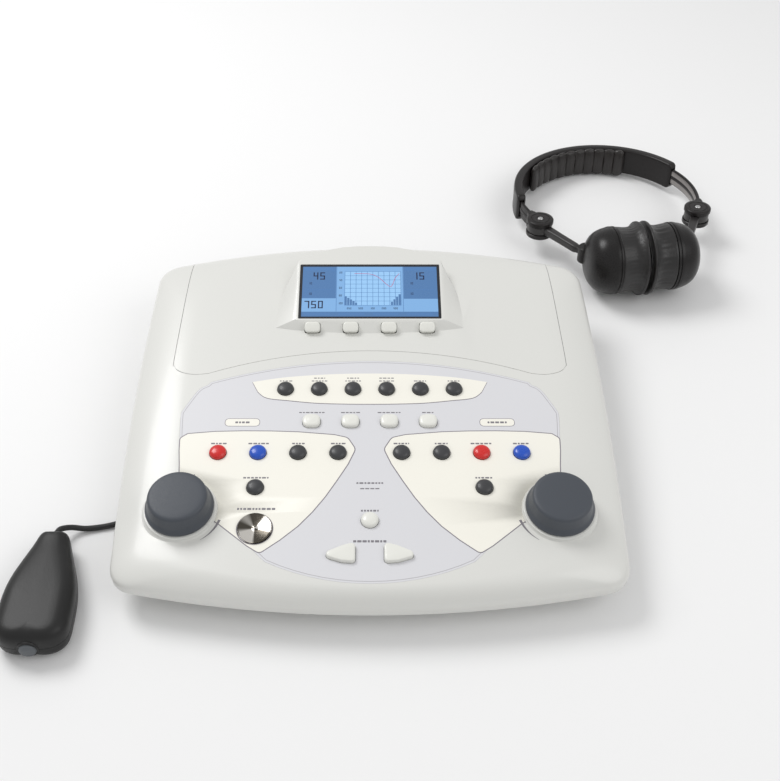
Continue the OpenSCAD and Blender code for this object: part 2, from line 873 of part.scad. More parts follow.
module headband_pad() {
  color(black_c) on_headset() arc_piece(-53, 29)
    translate([band_r - band_t - 3.6, 0]) offset(r = 2.6, $fn = 12)
      square([1.8, band_w - 2], center = true);
}

module slider(s) {
  color(metal_c) on_headset() mirror([s > 0 ? 1 : 0, 0, 0]) difference() {
    union() {
      arc_piece(-hinge_a + 6, -strap_in[s > 0 ? 1 : 0])
        translate([slider_r, 0]) square([slider_t, slider_w], center = true);
      translate([-hinge_x, hinge_y, -9]) cylinder(r = 13, h = 18);
    }
    translate([-hinge_x, hinge_y, -4.3]) cylinder(r = 14, h = 8.6);
    translate([-hinge_x, hinge_y, -20]) cylinder(r = 2.58, h = 40);
  }
}

arm_dx = tilt_x - hinge_x;
arm_dy = tilt_y - hinge_y;
arm_a = atan2(arm_dy, arm_dx);
arm_l = norm([arm_dx, arm_dy]);

module arm(s) {
  color(metal_c) on_headset() mirror([s < 0 ? 1 : 0, 0, 0])
    translate([hinge_x, hinge_y, 0]) rotate([0, 0, arm_a]) {
      translate([0, 0, -4]) cylinder(r = 12, h = 8);
      translate([8, -4, -4]) cube([arm_l - 20, 8, 8]);
      translate([8, -2.2, -2.2]) cube([arm_l - 9, 4.4, 4.4]);
      translate([0, 0, -8.9]) cylinder(r = 2.5, h = 17.8);
      translate([arm_l, 0, -4]) cylinder(r = 4.7, h = 8);
      translate([arm_l, 0, -7.9]) cylinder(r = 2, h = 15.8);
    }
}

// Ear cup with the fork for the arm's pin, and the driver on its plate inside
module cup(s) {
  w = cups_w / 2;
  r = cup_r - 3;
  color(black_c) on_headset() mirror([s < 0 ? 1 : 0, 0, 0]) {
    difference() {
      union() {
        rotate([0, 90, 0]) rotate_extrude($fn = 64) polygon([
          [0, w], [r - 20, w - 0.6], [r - 12, w - 3], [r - 6.5, w - 7], [r - 2.7, w - 13],
          [r - 0.7, w - 20], [r, pad_back + 5], [r, pad_back + 0.1], [r - 2.6, pad_back + 0.1],
          [r - 2.6, pad_back + 5], [r - 3.3, w - 20.5], [r - 5.1, w - 14.5], [r - 8.6, w - 9.3],
          [r - 13.4, w - 5.6], [r - 20, w - 3.2], [0, w - 2.6]
        ]);
        translate([tilt_x - 2, tilt_y - 2, -8]) cylinder(r = 7.6, h = 16);
      }
      translate([tilt_x, tilt_y, -10]) cylinder(r = 2.06, h = 20);
      translate([tilt_x, tilt_y, -4.3]) rotate([0, 0, arm_a + 180]) linear_extrude(8.6) union() {
        circle(r = 5.1);
        translate([0, -3.9]) square([16, 7.8]);
      }
    }
    rotate([0, 90, 0]) {
      translate([0, 0, pad_back + 0.3]) cylinder(r = r - 2.9, h = 1.6, $fn = 64);
      translate([0, 0, pad_back + 1.9]) cylinder(r = 17, h = 6);
    }
  }
}

module ear_pad(s) {
  r = cup_r;
  g = pad_gap / 2;
  color(black_c) on_headset() mirror([s < 0 ? 1 : 0, 0, 0]) rotate([0, 90, 0])
    rotate_extrude($fn = 48) polygon([
      [19, pad_back], [r - 3.6, pad_back], [r - 4, pad_back - 4], [r - 4.8, pad_back - 8.5],
      [r - 4.9, pad_back - 13], [r - 4.1, g + 7.4], [r - 2.5, g + 4.4], [r - 0.6, g + 2.4],
      [r, g + 1.4], [r - 0.5, g + 0.5], [r - 4, g], [25, g], [21.4, g + 1.1], [19, g + 3.6]
    ]);
}

// ---------- the nodes ----------

top_cover();
base_tray();
display_deck();
control_overlay();
lcd_window();
lcd_module();
main_board();
tact_switches();
rear_panel();
rear_sockets();
encoders();
rubber_feet();
case_screws();
preset_key(0);  // preset_key_1
preset_key(1);  // preset_key_2
preset_key(2);  // preset_key_3
preset_key(3);  // preset_key_4
preset_key(4);  // preset_key_5
preset_key(5);  // preset_key_6
option_key(0);  // option_key_1
option_key(1);  // option_key_2
option_key(2);  // option_key_3
option_key(3);  // option_key_4
soft_key(0);  // soft_key_1
soft_key(1);  // soft_key_2
soft_key(2);  // soft_key_3
soft_key(3);  // soft_key_4
round_key(-stim_x(3), 107, red_c);  // stimulus_key_1
round_key(-stim_x(2), 107, blue_c);  // stimulus_key_2
round_key(-stim_x(1), 107, dark_c);  // stimulus_key_3
round_key(-stim_x(0), 107, dark_c);  // stimulus_key_4
round_key(stim_x(0), 107, dark_c);  // masking_key_1
round_key(stim_x(1), 107, dark_c);  // masking_key_2
round_key(stim_x(2), 107, red_c);  // masking_key_3
round_key(stim_x(3), 107, blue_c);  // masking_key_4
round_key(-85.5, 75, dark_c);  // signal_key
round_key(85.5, 75, dark_c);  // masking_enable_key
round_key(0, 46, white_c);  // store_key
frequency_key(-1);  // frequency_down_key
frequency_key(1);  // frequency_up_key
interrupter_button();
knob(-1);  // left_knob
knob(1);  // right_knob
response_upper_shell();
response_lower_shell();
response_button();
response_strain_relief();
response_cord();
response_coil();
response_plug();
headband();
headband_pad();
slider(-1);  // left_slider
slider(1);  // right_slider
arm(-1);  // left_arm
arm(1);  // right_arm
cup(-1);  // left_cup
cup(1);  // right_cup
ear_pad(-1);  // left_ear_pad
ear_pad(1);  // right_ear_pad
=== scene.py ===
"""Looks of the desktop audiometer, its patient response handset and its folding headset.

Lengths below are millimetres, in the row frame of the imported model; make() turns them into metres.
"""
import json
import math
import random

import bpy
import bmesh
from mathutils import Matrix, Vector

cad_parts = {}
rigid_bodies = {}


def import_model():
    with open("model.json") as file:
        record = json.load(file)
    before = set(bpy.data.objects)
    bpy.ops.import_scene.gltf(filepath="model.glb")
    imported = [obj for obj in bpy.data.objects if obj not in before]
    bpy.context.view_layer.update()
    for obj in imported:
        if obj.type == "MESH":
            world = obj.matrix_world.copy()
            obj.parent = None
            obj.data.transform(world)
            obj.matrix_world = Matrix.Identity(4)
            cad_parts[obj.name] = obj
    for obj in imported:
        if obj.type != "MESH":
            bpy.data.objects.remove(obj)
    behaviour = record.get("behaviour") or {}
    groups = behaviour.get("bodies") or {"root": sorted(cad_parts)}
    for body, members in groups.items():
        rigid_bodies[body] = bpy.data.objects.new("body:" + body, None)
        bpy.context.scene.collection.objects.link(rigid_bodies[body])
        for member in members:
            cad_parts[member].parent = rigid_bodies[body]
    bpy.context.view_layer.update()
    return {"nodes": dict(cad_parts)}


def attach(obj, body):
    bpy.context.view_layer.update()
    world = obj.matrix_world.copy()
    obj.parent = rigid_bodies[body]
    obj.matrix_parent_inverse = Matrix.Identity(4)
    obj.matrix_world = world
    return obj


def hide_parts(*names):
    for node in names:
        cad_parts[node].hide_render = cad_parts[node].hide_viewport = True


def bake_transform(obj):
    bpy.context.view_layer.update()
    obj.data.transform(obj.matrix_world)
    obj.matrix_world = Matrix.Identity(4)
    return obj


for leftover in list(bpy.data.objects):
    bpy.data.objects.remove(leftover)
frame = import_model()

MM = 0.001

# ---------- driving dimensions, as in the part's source ----------

BODY_W, BODY_L = 373, 319
FRONT_BOW, BACK_BOW, SIDE_BOW = 20, 28, 4
CORNER_R = 14
SLOPE = 5.5
FRONT_Y, FRONT_H = -163, 42.5
CROWN, RIM_H, WALL = 11, 9, 2.5
SIDE_FALL, FRONT_FALL, BACK_FALL = 42, 13, 42
SEAM = 0.2
KEY_R, KEY_GAP, KEY_RISE = 6.5, 0.3, 4
KNOB_X, KNOB_V, KNOB_R, KNOB_TOP_R, KNOB_H = 139, 55, 25.25, 21, 16.5
PEDESTAL_R, PEDESTAL_H = 26.7, 3
PRESET_PITCH, PRESET_V, OPTION_PITCH, OPTION_V = 27, 170, 30.4, 137
STIM_V, SIGNAL_X, SIGNAL_V, STORE_V = 107, 85.5, 75, 46
INTERRUPTER, PLATE = (-83.4, 39), (99.5, 136.4)
WINDOW_W, WINDOW_L = 120.5, 59.5
HOOD_V, HOOD_H, WINDOW_TILT, FACET = 241, 6.4, 5.6, 30
CORD_D = 4.5
HANDSET_L, HANDSET_MID = 97, 14
CUP_R, CUPS_W, BAND_R, BAND_W, BAND_T = 35, 107, 95, 28, 9
ARC_C, HEADSET_X, HEADSET_Y, HEADSET_TURN = 112, 256.5, 206, 7

# ---------- frames ----------


def turn(axis, degrees):
    return Matrix.Rotation(math.radians(degrees), 4, axis)


def move(x, y, z=0):
    return Matrix.Translation((x, y, z))


PANEL = move(0, FRONT_Y, FRONT_H) @ turn("X", SLOPE)
HOOD = PANEL @ move(0, HOOD_V, HOOD_H) @ turn("X", WINDOW_TILT)
HANDSET = move(-237, -107)
HEADSET_TILT = math.degrees(math.asin((CUP_R - BAND_W / 2 - 1.8) / (ARC_C + BAND_R - 4)))
HEADSET = (move(HEADSET_X, HEADSET_Y, CUP_R + 0.05) @ turn("Z", HEADSET_TURN)
           @ turn("X", -HEADSET_TILT))

# ---------- camera ----------

F_PX = 1080
IMAGE_PX = 781


def add_camera():
    data = bpy.data.cameras.new("camera")
    data.sensor_width = 36
    data.lens = F_PX * 36 / IMAGE_PX
    data.shift_x = 20.2 / IMAGE_PX
    data.clip_start = 0.05
    ob = bpy.data.objects.new("camera", data)
    ob.location = (0, -0.60633, 0.66993)
    ob.rotation_euler = (math.radians(45), 0, 0)
    bpy.context.collection.objects.link(ob)
    bpy.context.scene.camera = ob


add_camera()

# ---------- mesh helpers ----------


def make(name, verts, faces, frame_mm=None, smooth=35):
    """A mesh object from points in millimetres; edges sharper than smooth degrees stay sharp."""
    m = frame_mm or Matrix()
    me = bpy.data.meshes.new(name)
    me.from_pydata([(m @ Vector(v)) * MM for v in verts], [], faces)
    me.validate()
    bm = bmesh.new()
    bm.from_mesh(me)
    bmesh.ops.recalc_face_normals(bm, faces=bm.faces)
    bm.to_mesh(me)
    bm.free()
    finish_shading(me, smooth)
    ob = bpy.data.objects.new(name, me)
    bpy.context.collection.objects.link(ob)
    return ob


def finish_shading(me, smooth):
    me.polygons.foreach_set("use_smooth", [True] * len(me.polygons))
    me.set_sharp_from_angle(angle=math.radians(smooth))


def loft(name, rings, frame_mm=None, closed=True, caps=(True, True), smooth=35, loop=False):
    """Skin rings of equal length; caps closes the first and last ring with one face each."""
    n = len(rings[0])
    verts = [p for r in rings for p in r]
    faces = []
    span = n if closed else n - 1
    count = len(rings) if loop else len(rings) - 1
    for i in range(count):
        j = (i + 1) % len(rings)
        for k in range(span):
            q = (k + 1) % n
            faces.append((i * n + k, i * n + q, j * n + q, j * n + k))
    if not loop:
        if caps[0]:
            faces.append(tuple(range(n)))
        if caps[1]:
            faces.append(tuple(reversed(range((len(rings) - 1) * n, len(rings) * n))))
    return make(name, verts, faces, frame_mm, smooth)


def revolve(name, profile, frame_mm=None, segs=64, smooth=35, hole=False):
    """Turn a profile of (radius, height) points about Z; hole joins its ends round an open bore."""
    verts, index = [], []
    for r, z in profile:
        if r < 1e-6:
            index.append([len(verts)] * segs)
            verts.append((0, 0, z))
        else:
            index.append(list(range(len(verts), len(verts) + segs)))
            verts += [(r * math.cos(2 * math.pi * k / segs), r * math.sin(2 * math.pi * k / segs), z)
                      for k in range(segs)]
    faces = []
    for a, b in zip(index, index[1:] + index[:1] if hole else index[1:]):
        for k in range(segs):
            q = (k + 1) % segs
            face = list(dict.fromkeys((a[k], a[q], b[q], b[k])))
            if len(face) > 2:
                faces.append(face)
    for ends in (index[0], index[-1]):
        if len(set(ends)) > 1 and not hole:
            faces.append(ends)
    return make(name, verts, faces, frame_mm, smooth)


def tube(name, points, radius, sides=12, smooth=60):
    """A round tube along points; radius is a number or a function of the share of the way along."""
    pts = [Vector(p) for p in points]
    n = len(pts)
    rings = []
    side = None
    for i, p in enumerate(pts):
        t = (pts[min(i + 1, n - 1)] - pts[max(i - 1, 0)]).normalized()
        if side is None:
            side = t.cross(Vector((0, 0, 1)) if abs(t.z) < 0.9 else Vector((1, 0, 0))).normalized()
        side = (side - t * side.dot(t)).normalized()
        up = t.cross(side)
        r = radius(i / (n - 1)) if callable(radius) else radius
        rings.append([p + r * (math.cos(a) * side + math.sin(a) * up)
                      for a in (2 * math.pi * k / sides for k in range(sides))])
    return loft(name, rings, smooth=smooth)


def spline(points, steps=8, closed=False):
    """Points of a smooth curve through the given ones."""
    p = [Vector(q) for q in points]
    n = len(p)
    out = []
    for i in range(n if closed else n - 1):
        a, b, c, d = ((p[(i + k) % n] if closed else p[min(max(i + k, 0), n - 1)]) for k in (-1, 0, 1, 2))
        for s in range(steps):
            t = s / steps
            out.append(b + 0.5 * ((c - a) * t + (2 * a - 5 * b + 4 * c - d) * t ** 2
                                  + (3 * b - a - 3 * c + d) * t ** 3))
    return out if closed else out + [p[-1]]


def fillet(points, radius, steps=6):
    """Round the corners of a closed outline; radius is one number or one for each corner."""
    n = len(points)
    out = []
    for i in range(n):
        r = radius[i] if isinstance(radius, (list, tuple)) else radius
        a, b, c = Vector(points[i - 1]), Vector(points[i]), Vector(points[(i + 1) % n])
        u, w = (a - b), (c - b)
        if r < 1e-6:
            out.append(b)
            continue
        half = u.angle(w) / 2
        reach = min(r / math.tan(half), u.length * 0.49, w.length * 0.49)
        p, q = b + u.normalized() * reach, b + w.normalized() * reach
        for s in range(steps + 1):
            t = s / steps
            out.append(p * (1 - t) ** 2 + b * 2 * t * (1 - t) + q * t ** 2)
    return out


def circle(x, y, r, n=48):
    return [Vector((x + r * math.cos(2 * math.pi * k / n), y + r * math.sin(2 * math.pi * k / n)))
            for k in range(n)]


def mirrored(points):
    return [Vector((-p[0], p[1])) for p in reversed(points)]


def patch(name, outline, holes, low, high):
    """A flat plate with holes, between two heights above the panel."""
    data = bpy.data.curves.new(name, "CURVE")
    data.dimensions = "2D"
    data.fill_mode = "BOTH"
    data.extrude = (high - low) / 2
    for loop in (outline, *holes):
        s = data.splines.new("POLY")
        s.points.add(len(loop) - 1)
        for pt, p in zip(s.points, loop):
            pt.co = (p[0], p[1], 0, 1)
        s.use_cyclic_u = True
    source = bpy.data.objects.new(name + "_source", data)
    bpy.context.collection.objects.link(source)
    bpy.context.view_layer.update()
    me = bpy.data.meshes.new_from_object(source.evaluated_get(bpy.context.evaluated_depsgraph_get()))
    bpy.data.objects.remove(source)
    bm = bmesh.new()
    bm.from_mesh(me)
    bmesh.ops.remove_doubles(bm, verts=bm.verts, dist=1e-4)
    bm.to_mesh(me)
    bm.free()
    me.transform(Matrix.Scale(MM, 4) @ PANEL @ move(0, 0, (low + high) / 2))
    finish_shading(me, 35)
    me.name = name
    ob = bpy.data.objects.new(name, me)
    bpy.context.collection.objects.link(ob)
    return ob


def prism(outline, low, high, frame_mm=PANEL):
    return loft("cutter", [[(p[0], p[1], z) for p in outline] for z in (low, high)], frame_mm)


def cut(ob, cutters, operation="DIFFERENCE"):
    """Boolean the joined cutters into ob and drop them."""
    tool = join(cutters, "cutter")
    mod = ob.modifiers.new("cut", "BOOLEAN")
    mod.object = tool
    mod.operation = operation
    mod.solver = "EXACT"
    apply_modifiers(ob)
    bpy.data.objects.remove(tool)


def apply_modifiers(ob):
    bpy.context.view_layer.update()
    me = bpy.data.meshes.new_from_object(ob.evaluated_get(bpy.context.evaluated_depsgraph_get()))
    ob.modifiers.clear()
    ob.data = me


def join(obs, name):
    """One object from several; material slots are kept."""
    obs = list(obs)
    first = obs[0]
    if len(obs) > 1:
        with bpy.context.temp_override(active_object=first, object=first, selected_objects=obs,
                                       selected_editable_objects=obs):
            bpy.ops.object.join()
    first.name = name
    first.data.name = name
    return first


def dress(ob, material, body, slot, *nodes):
    """Material, body and the CAD nodes that this piece stands for; the slot argument is not used."""
    if material is not None:
        ob.data.materials.clear()
        ob.data.materials.append(material)
    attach(ob, body)
    if nodes:
        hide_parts(*nodes)
    return ob


# ---------- materials ----------


def plastic(name, color, rough=0.4, grain=900, bump=0.02, vary=0.03, rough_vary=0.06, coat=0.0,
            metallic=0.0, edge_highlight=0.0, sheen=0.0, coords="Object", specular=0.5):
    """Moulded surface: slight colour drift, a fine moulded grain in bump and roughness, and sharp edges
    lightened as a painted highlight.
    """
    mat = bpy.data.materials.new(name)
    mat.use_nodes = True
    nt = mat.node_tree
    bsdf = nt.nodes["Principled BSDF"]
    bsdf.inputs["Metallic"].default_value = metallic
    bsdf.inputs["Coat Weight"].default_value = coat
    bsdf.inputs["Coat Roughness"].default_value = 0.12
    bsdf.inputs["Sheen Weight"].default_value = sheen
    bsdf.inputs["Specular IOR Level"].default_value = specular
    tc = nt.nodes.new("ShaderNodeTexCoord")
    drift = noise_node(nt, tc, coords, 14, 3)
    ramp = nt.nodes.new("ShaderNodeMix")
    ramp.data_type = "RGBA"
    ramp.inputs["A"].default_value = (*[c * (1 - vary) for c in color], 1)
    ramp.inputs["B"].default_value = (*[min(1, c * (1 + vary)) for c in color], 1)
    nt.links.new(drift.outputs["Fac"], ramp.inputs["Factor"])
    out = ramp.outputs["Result"]
    # Painted highlight: sharp convex edges, found by pointiness, are lightened in the base colour.
    if edge_highlight:
        geo = nt.nodes.new("ShaderNodeNewGeometry")
        edge = map_range(nt, geo.outputs["Pointiness"], 0.52, 0.62, 0, edge_highlight)
        edge_lit = nt.nodes.new("ShaderNodeMix")
        edge_lit.data_type = "RGBA"
        edge_lit.inputs["B"].default_value = (*[min(1, c * 1.6 + 0.05) for c in color], 1)
        nt.links.new(edge, edge_lit.inputs["Factor"])
        nt.links.new(out, edge_lit.inputs["A"])
        out = edge_lit.outputs["Result"]
    nt.links.new(out, bsdf.inputs["Base Color"])
    fine = noise_node(nt, tc, coords, grain, 2)
    nt.links.new(map_range(nt, fine.outputs["Fac"], 0.3, 0.7, rough - rough_vary, rough + rough_vary),
                 bsdf.inputs["Roughness"])
    bmp = nt.nodes.new("ShaderNodeBump")
    bmp.inputs["Strength"].default_value = bump * 10
    bmp.inputs["Distance"].default_value = 0.0001
    nt.links.new(fine.outputs["Fac"], bmp.inputs["Height"])
    nt.links.new(bmp.outputs["Normal"], bsdf.inputs["Normal"])
    return mat


def noise_node(nt, tc, coords, scale, detail):
    n = nt.nodes.new("ShaderNodeTexNoise")
    n.inputs["Scale"].default_value = scale
    n.inputs["Detail"].default_value = detail
    nt.links.new(tc.outputs[coords], n.inputs["Vector"])
    return n


def map_range(nt, socket, a, b, c, d):
    n = nt.nodes.new("ShaderNodeMapRange")
    for name, value in zip(("From Min", "From Max", "To Min", "To Max"), (a, b, c, d)):
        n.inputs[name].default_value = value
    nt.links.new(socket, n.inputs["Value"])
    return n.outputs["Result"]


M = {
    "shell": plastic("shell_plastic", (0.70, 0.70, 0.67), 0.33, 1400, 0.012, 0.012, coat=0.25),
    "tray": plastic("tray_plastic", (0.56, 0.56, 0.53), 0.45, 1000, 0.03, 0.03),
    "overlay": plastic("overlay_film", (0.68, 0.68, 0.705), 0.42, 1600, 0.008, 0.012),
    "cream": plastic("cream_print", (0.88, 0.86, 0.78), 0.42, 1600, 0.008, 0.01),
    "outline": plastic("outline_print", (0.22, 0.20, 0.23), 0.45, 1600, 0.008, 0.05),
    "border": plastic("border_print", (0.46, 0.45, 0.47), 0.45, 1600, 0.008, 0.05),
    "legend": plastic("legend_print", (0.20, 0.19, 0.21), 0.5, 1600, 0.008, 0.08),
    "dark_key": plastic("dark_key_plastic", (0.036, 0.037, 0.040), 0.40, 1500, 0.01, 0.1, coat=0.08),
    "white_key": plastic("white_key_plastic", (0.78, 0.78, 0.73), 0.32, 1500, 0.01, 0.02, coat=0.2),
    "red_key": plastic("red_key_plastic", (0.62, 0.012, 0.010), 0.28, 1500, 0.01, 0.05, coat=0.3),
    "blue_key": plastic("blue_key_plastic", (0.006, 0.075, 0.50), 0.28, 1500, 0.01, 0.05, coat=0.3),
    "knob": plastic("knob_soft_touch", (0.052, 0.060, 0.074), 0.50, 1100, 0.03, 0.08, sheen=0.1),
    "rubber": plastic("black_rubber", (0.018, 0.018, 0.018), 0.62, 900, 0.05, 0.15),
    # The black handset, band, arm and cup plastics below get the painted edge highlight.
    "handset": plastic("handset_plastic", (0.012, 0.012, 0.012), 0.42, 1500, 0.06, 0.12, edge_highlight=0.12,
                       specular=0.35),
    "handset_button": plastic("handset_button_rubber", (0.10, 0.11, 0.12), 0.5, 1300, 0.03, 0.08),
    "socket": plastic("socket_plastic", (0.016, 0.016, 0.016), 0.4, 900, 0.03, 0.1),
    "board": plastic("board_lacquer", (0.02, 0.11, 0.05), 0.35, 300, 0.02, 0.2),
    "screw": plastic("screw_steel", (0.56, 0.56, 0.56), 0.32, 500, 0.05, 0.08, metallic=1),
    "band": plastic("band_plastic", (0.012, 0.010, 0.010), 0.32, 1300, 0.02, 0.1, edge_highlight=0.15, specular=0.32),
    "arm": plastic("arm_lacquer", (0.020, 0.018, 0.018), 0.34, 900, 0.03, 0.12, edge_highlight=0.2),
    "strap": plastic("strap_steel", (0.34, 0.32, 0.31), 0.30, 700, 0.05, 0.12, metallic=1),
    "cup": plastic("cup_plastic", (0.010, 0.009, 0.009), 0.30, 1300, 0.02, 0.1, edge_highlight=0.1, specular=0.3),
    "foam": plastic("driver_cloth", (0.02, 0.02, 0.02), 0.9, 1800, 0.2, 0.2),
}


# ---------- cord ----------

CORD_Z = CORD_D / 2 + 0.05
CORD_START = (-237, -111, 14)
CORD_ROUTE = [
    CORD_START, (-237, -102.5, 14), (-235.4, -97.4, 11.6), (-229.5, -92.6, 7), (-220.5, -90.9, 3.4),
    (-211, -89, CORD_Z), (-200.5, -86.6, CORD_Z), (-190.5, -82, CORD_Z), (-185, -72.5, CORD_Z),
    (-184, -58, CORD_Z), (-184, -25, CORD_Z), (-184, 10, CORD_Z), (-184, 45, CORD_Z),
    (-184, 80, CORD_Z), (-184, 112, CORD_Z), (-182.5, 132, CORD_Z), (-177, 150, CORD_Z),
    (-168.5, 164, CORD_Z), (-161, 176, CORD_Z),
]
COIL_C = (-122, 193)
COIL_IN, COIL_TURNS, COIL_STEPS = 10.5, 9.375, 24
COIL_PITCH, COIL_RISE = CORD_D + 0.7, CORD_D + 0.6
PLUG_END = (-84, 180.7, 28)


def coil_at(t):
    """Centre of the cord after t turns: in below, up where the spiral reverses, out above."""
    half = COIL_TURNS / 2
    r = COIL_IN + COIL_PITCH * abs(half - t)
    climb = min(max(t - half + 0.25, 0), 0.5) / 0.5
    z = CORD_Z + COIL_RISE * (1 - math.cos(math.pi * climb)) / 2
    z += 1.5 * (max(t - COIL_TURNS + 0.12, 0) / 0.12) ** 2
    a = 2 * math.pi * t
    return Vector((COIL_C[0] - r * math.cos(a), COIL_C[1] + r * math.sin(a), z))


def add_cord():
    loops = [coil_at(i / COIL_STEPS) for i in range(int(COIL_TURNS * COIL_STEPS) + 1)]
    run = spline(CORD_ROUTE + [loops[0] + Vector((-0.4, -6, 0)), loops[0]], 4)
    link = spline([loops[-1], (-90.2, 208.5, 13), (-85.4, 199, 19.5), (-84.1, 190.5, 25.4),
                   (-84, 185.2, 27.7), PLUG_END], 4)
    path = run + loops[1:] + link[1:]
    length = sum((b - a).length for a, b in zip(path, path[1:])) * MM
    ob = tube("response_cord_jacket", path, CORD_D / 2, 12)
    ob.data.materials.append(M["rubber"])
    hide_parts("response_cord", "response_coil")
    return ob, [p * MM for p in path], length


cord, cord_path, cord_length = add_cord()


# ---------- console: outlines ----------


def bow(t):
    return 4 * t * (1 - t)


def plan(s, f, b, r, n=40):
    """Console plan drawn in by s, f and b, corners rounded to r; the same point count each time."""
    hw = BODY_W / 2
    corners = [(s - hw, f), (hw - s, f), (hw - s, BODY_L - b), (s - hw, BODY_L - b)]
    bows = [(0, -FRONT_BOW), (SIDE_BOW, 0), (0, BACK_BOW), (-SIDE_BOW, 0)]
    edges = [(Vector(corners[i]), Vector(corners[(i + 1) % 4]), Vector(bows[i])) for i in range(4)]

    def at(i, t):
        a, c, w = edges[i % 4]
        return a.lerp(c, t) + w * bow(t)

    out = []
    for i in range(4):
        share0 = 1.15 * r / (edges[i][1] - edges[i][0]).length
        before = edges[i - 1]
        share1 = 1.15 * r / (before[1] - before[0]).length
        p, q = at(i - 1, 1 - share1), at(i, share0)
        tp = (at(i - 1, 1 - share1) - at(i - 1, 1 - share1 - 0.01)).normalized()
        tq = (at(i, share0) - at(i, share0 + 0.01)).normalized()
        cross = tp.x * tq.y - tp.y * tq.x
        u = ((q.x - p.x) * tq.y - (q.y - p.y) * tq.x) / cross
        knee = p + tp * u
        for k in range(12):
            t = k / 12
            w = 0.92
            d = (1 - t) ** 2 + 2 * w * t * (1 - t) + t ** 2
            out.append((p * (1 - t) ** 2 + knee * 2 * w * t * (1 - t) + q * t ** 2) / d)
        for k in range(n):
            out.append(at(i, share0 + (1 - 2 * share0) * k / n))
    return out


SHELL_LAYERS = [(0, 1, 1), (0.003, 1, 0.72), (0, 1, 0.42), (0.006, 0.985, 0.28), (0.025, 0.94, 0.16),
                (0.052, 0.885, 0.09), (0.09, 0.81, 0.05), (0.15, 0.71, 0.02), (0.22, 0.6, 0.01),
                (0.33, 0.44, 0), (0.46, 0.29, 0), (0.59, 0.17, 0), (0.72, 0.08, 0), (0.86, 0.02, 0),
                (1, 0, 0)]


def shell_rings(inset, drop, reach):
    rings = []
    for fall, crown, rim in SHELL_LAYERS:
        h = -CROWN * crown - RIM_H * rim - drop - (reach if rim == 1 else 0)
        ring = plan(SIDE_FALL * fall + inset, FRONT_FALL * fall + inset, BACK_FALL * fall + inset,
                    CORNER_R + 16 * fall)
        rings.append([(p.x, p.y, h) for p in ring])
    return rings


def shell(name, inset, drop, reach):
    return loft(name, shell_rings(inset, drop, reach), PANEL, smooth=30)


def arc_y(c, r, x):
    return c - (r - math.sqrt(r * r - x * x))


def deck_outline(g):
    """Edge of the display deck, moved outward by g."""
    front = [(x, arc_y(211 + SEAM - g, 362, x)) for x in range(-128, 129, 8)]
    side = spline([(131, arc_y(211 + SEAM, 362, 131)), (141, 185.6), (150, 187), (156.5, 190.5),
                   (159.8, 195.5), (160.7, 202), (159.1, 260), (157.5, 321), (157.5, 365)], 5)
    side = [Vector((p[0] + (g if p[1] > 195 else 0.4 * g), p[1] - (g if p[1] < 192 else 0)))
            for p in side]
    return [Vector(p) for p in front] + side + mirrored(side)


def overlay_outline():
    side = [(130, 174.5), (135, 171.5), (139, 166), (144, 156), (147.2, 149), (148.5, 143),
            (146.5, 118), (142.7, 93), (141, 75)]
    low = [(141, 75), (127, 56), (109.5, 45.3), (95, 33.3), (80, 17)]
    right = spline(side, 5)[:-1] + spline(low, 4)
    top = [(x, arc_y(200, 373, x)) for x in range(-128, 129, 8)]
    bottom = [(150 * math.sin(math.radians(a)) * 1.06, 144 - 150 * math.cos(math.radians(a)))
              for a in range(28, -29, -4)]
    return [Vector(p) for p in top] + right + [Vector(p) for p in bottom] + mirrored(right)


def inset_outline(pts, d):
    """Draw a clockwise outline in by d (out when negative)."""
    out = []
    n = len(pts)
    for i in range(n):
        a, b, c = pts[i - 1], pts[i], pts[(i + 1) % n]
        u, w = (b - a), (c - b)
        if u.length < 1e-6 or w.length < 1e-6:
            continue
        nrm = (Vector((u.y, -u.x)).normalized() + Vector((w.y, -w.x)).normalized())
        nrm = nrm.normalized() / max(0.5, math.cos(u.angle(w) / 2))
        out.append(b + nrm * d)
    return out


def rounded_rect(x, y, w, d, r):
    return fillet([(x - w / 2, y - d / 2), (x + w / 2, y - d / 2), (x + w / 2, y + d / 2),
                   (x - w / 2, y + d / 2)], r)


def fin_outline(side, grow=0.0):
    pts = fillet([(11.7, 11.7), (20, 12.4), (29.6, 15.6), (29.6, 17.6), (19, 22.5), (11.7, 24.7)], 1.6)
    pts = inset_outline(pts, 1.5 + grow)
    return pts if side > 0 else mirrored(pts)


def stim_x(i):
    return 24.3 + 30.6 * i


def soft_key_frame(i):
    """On the sloping facet in front of the display."""
    return PANEL @ move(32 * (i - 1.5), 233.5, 4.4) @ turn("X", FACET)


ROUND_HOLES = ([(PRESET_PITCH * (i - 2.5), PRESET_V) for i in range(6)]
               + [(s * stim_x(i), STIM_V) for s in (-1, 1) for i in range(4)]
               + [(-SIGNAL_X, SIGNAL_V), (SIGNAL_X, SIGNAL_V), (0, STORE_V)])


def panel_openings(extra=0.0):
    loops = [circle(x, v, KEY_R + KEY_GAP + extra, 40) for x, v in ROUND_HOLES]
    loops += [rounded_rect(OPTION_PITCH * (i - 1.5), OPTION_V, 14.6 + 2 * extra, 12.6 + 2 * extra, 5.8)
              for i in range(4)]
    loops += [fin_outline(1, KEY_GAP + extra), fin_outline(-1, KEY_GAP + extra)]
    loops.append(circle(*INTERRUPTER, 12.8 + extra, 56))
    return loops


# ---------- console: cover, deck, overlay ----------


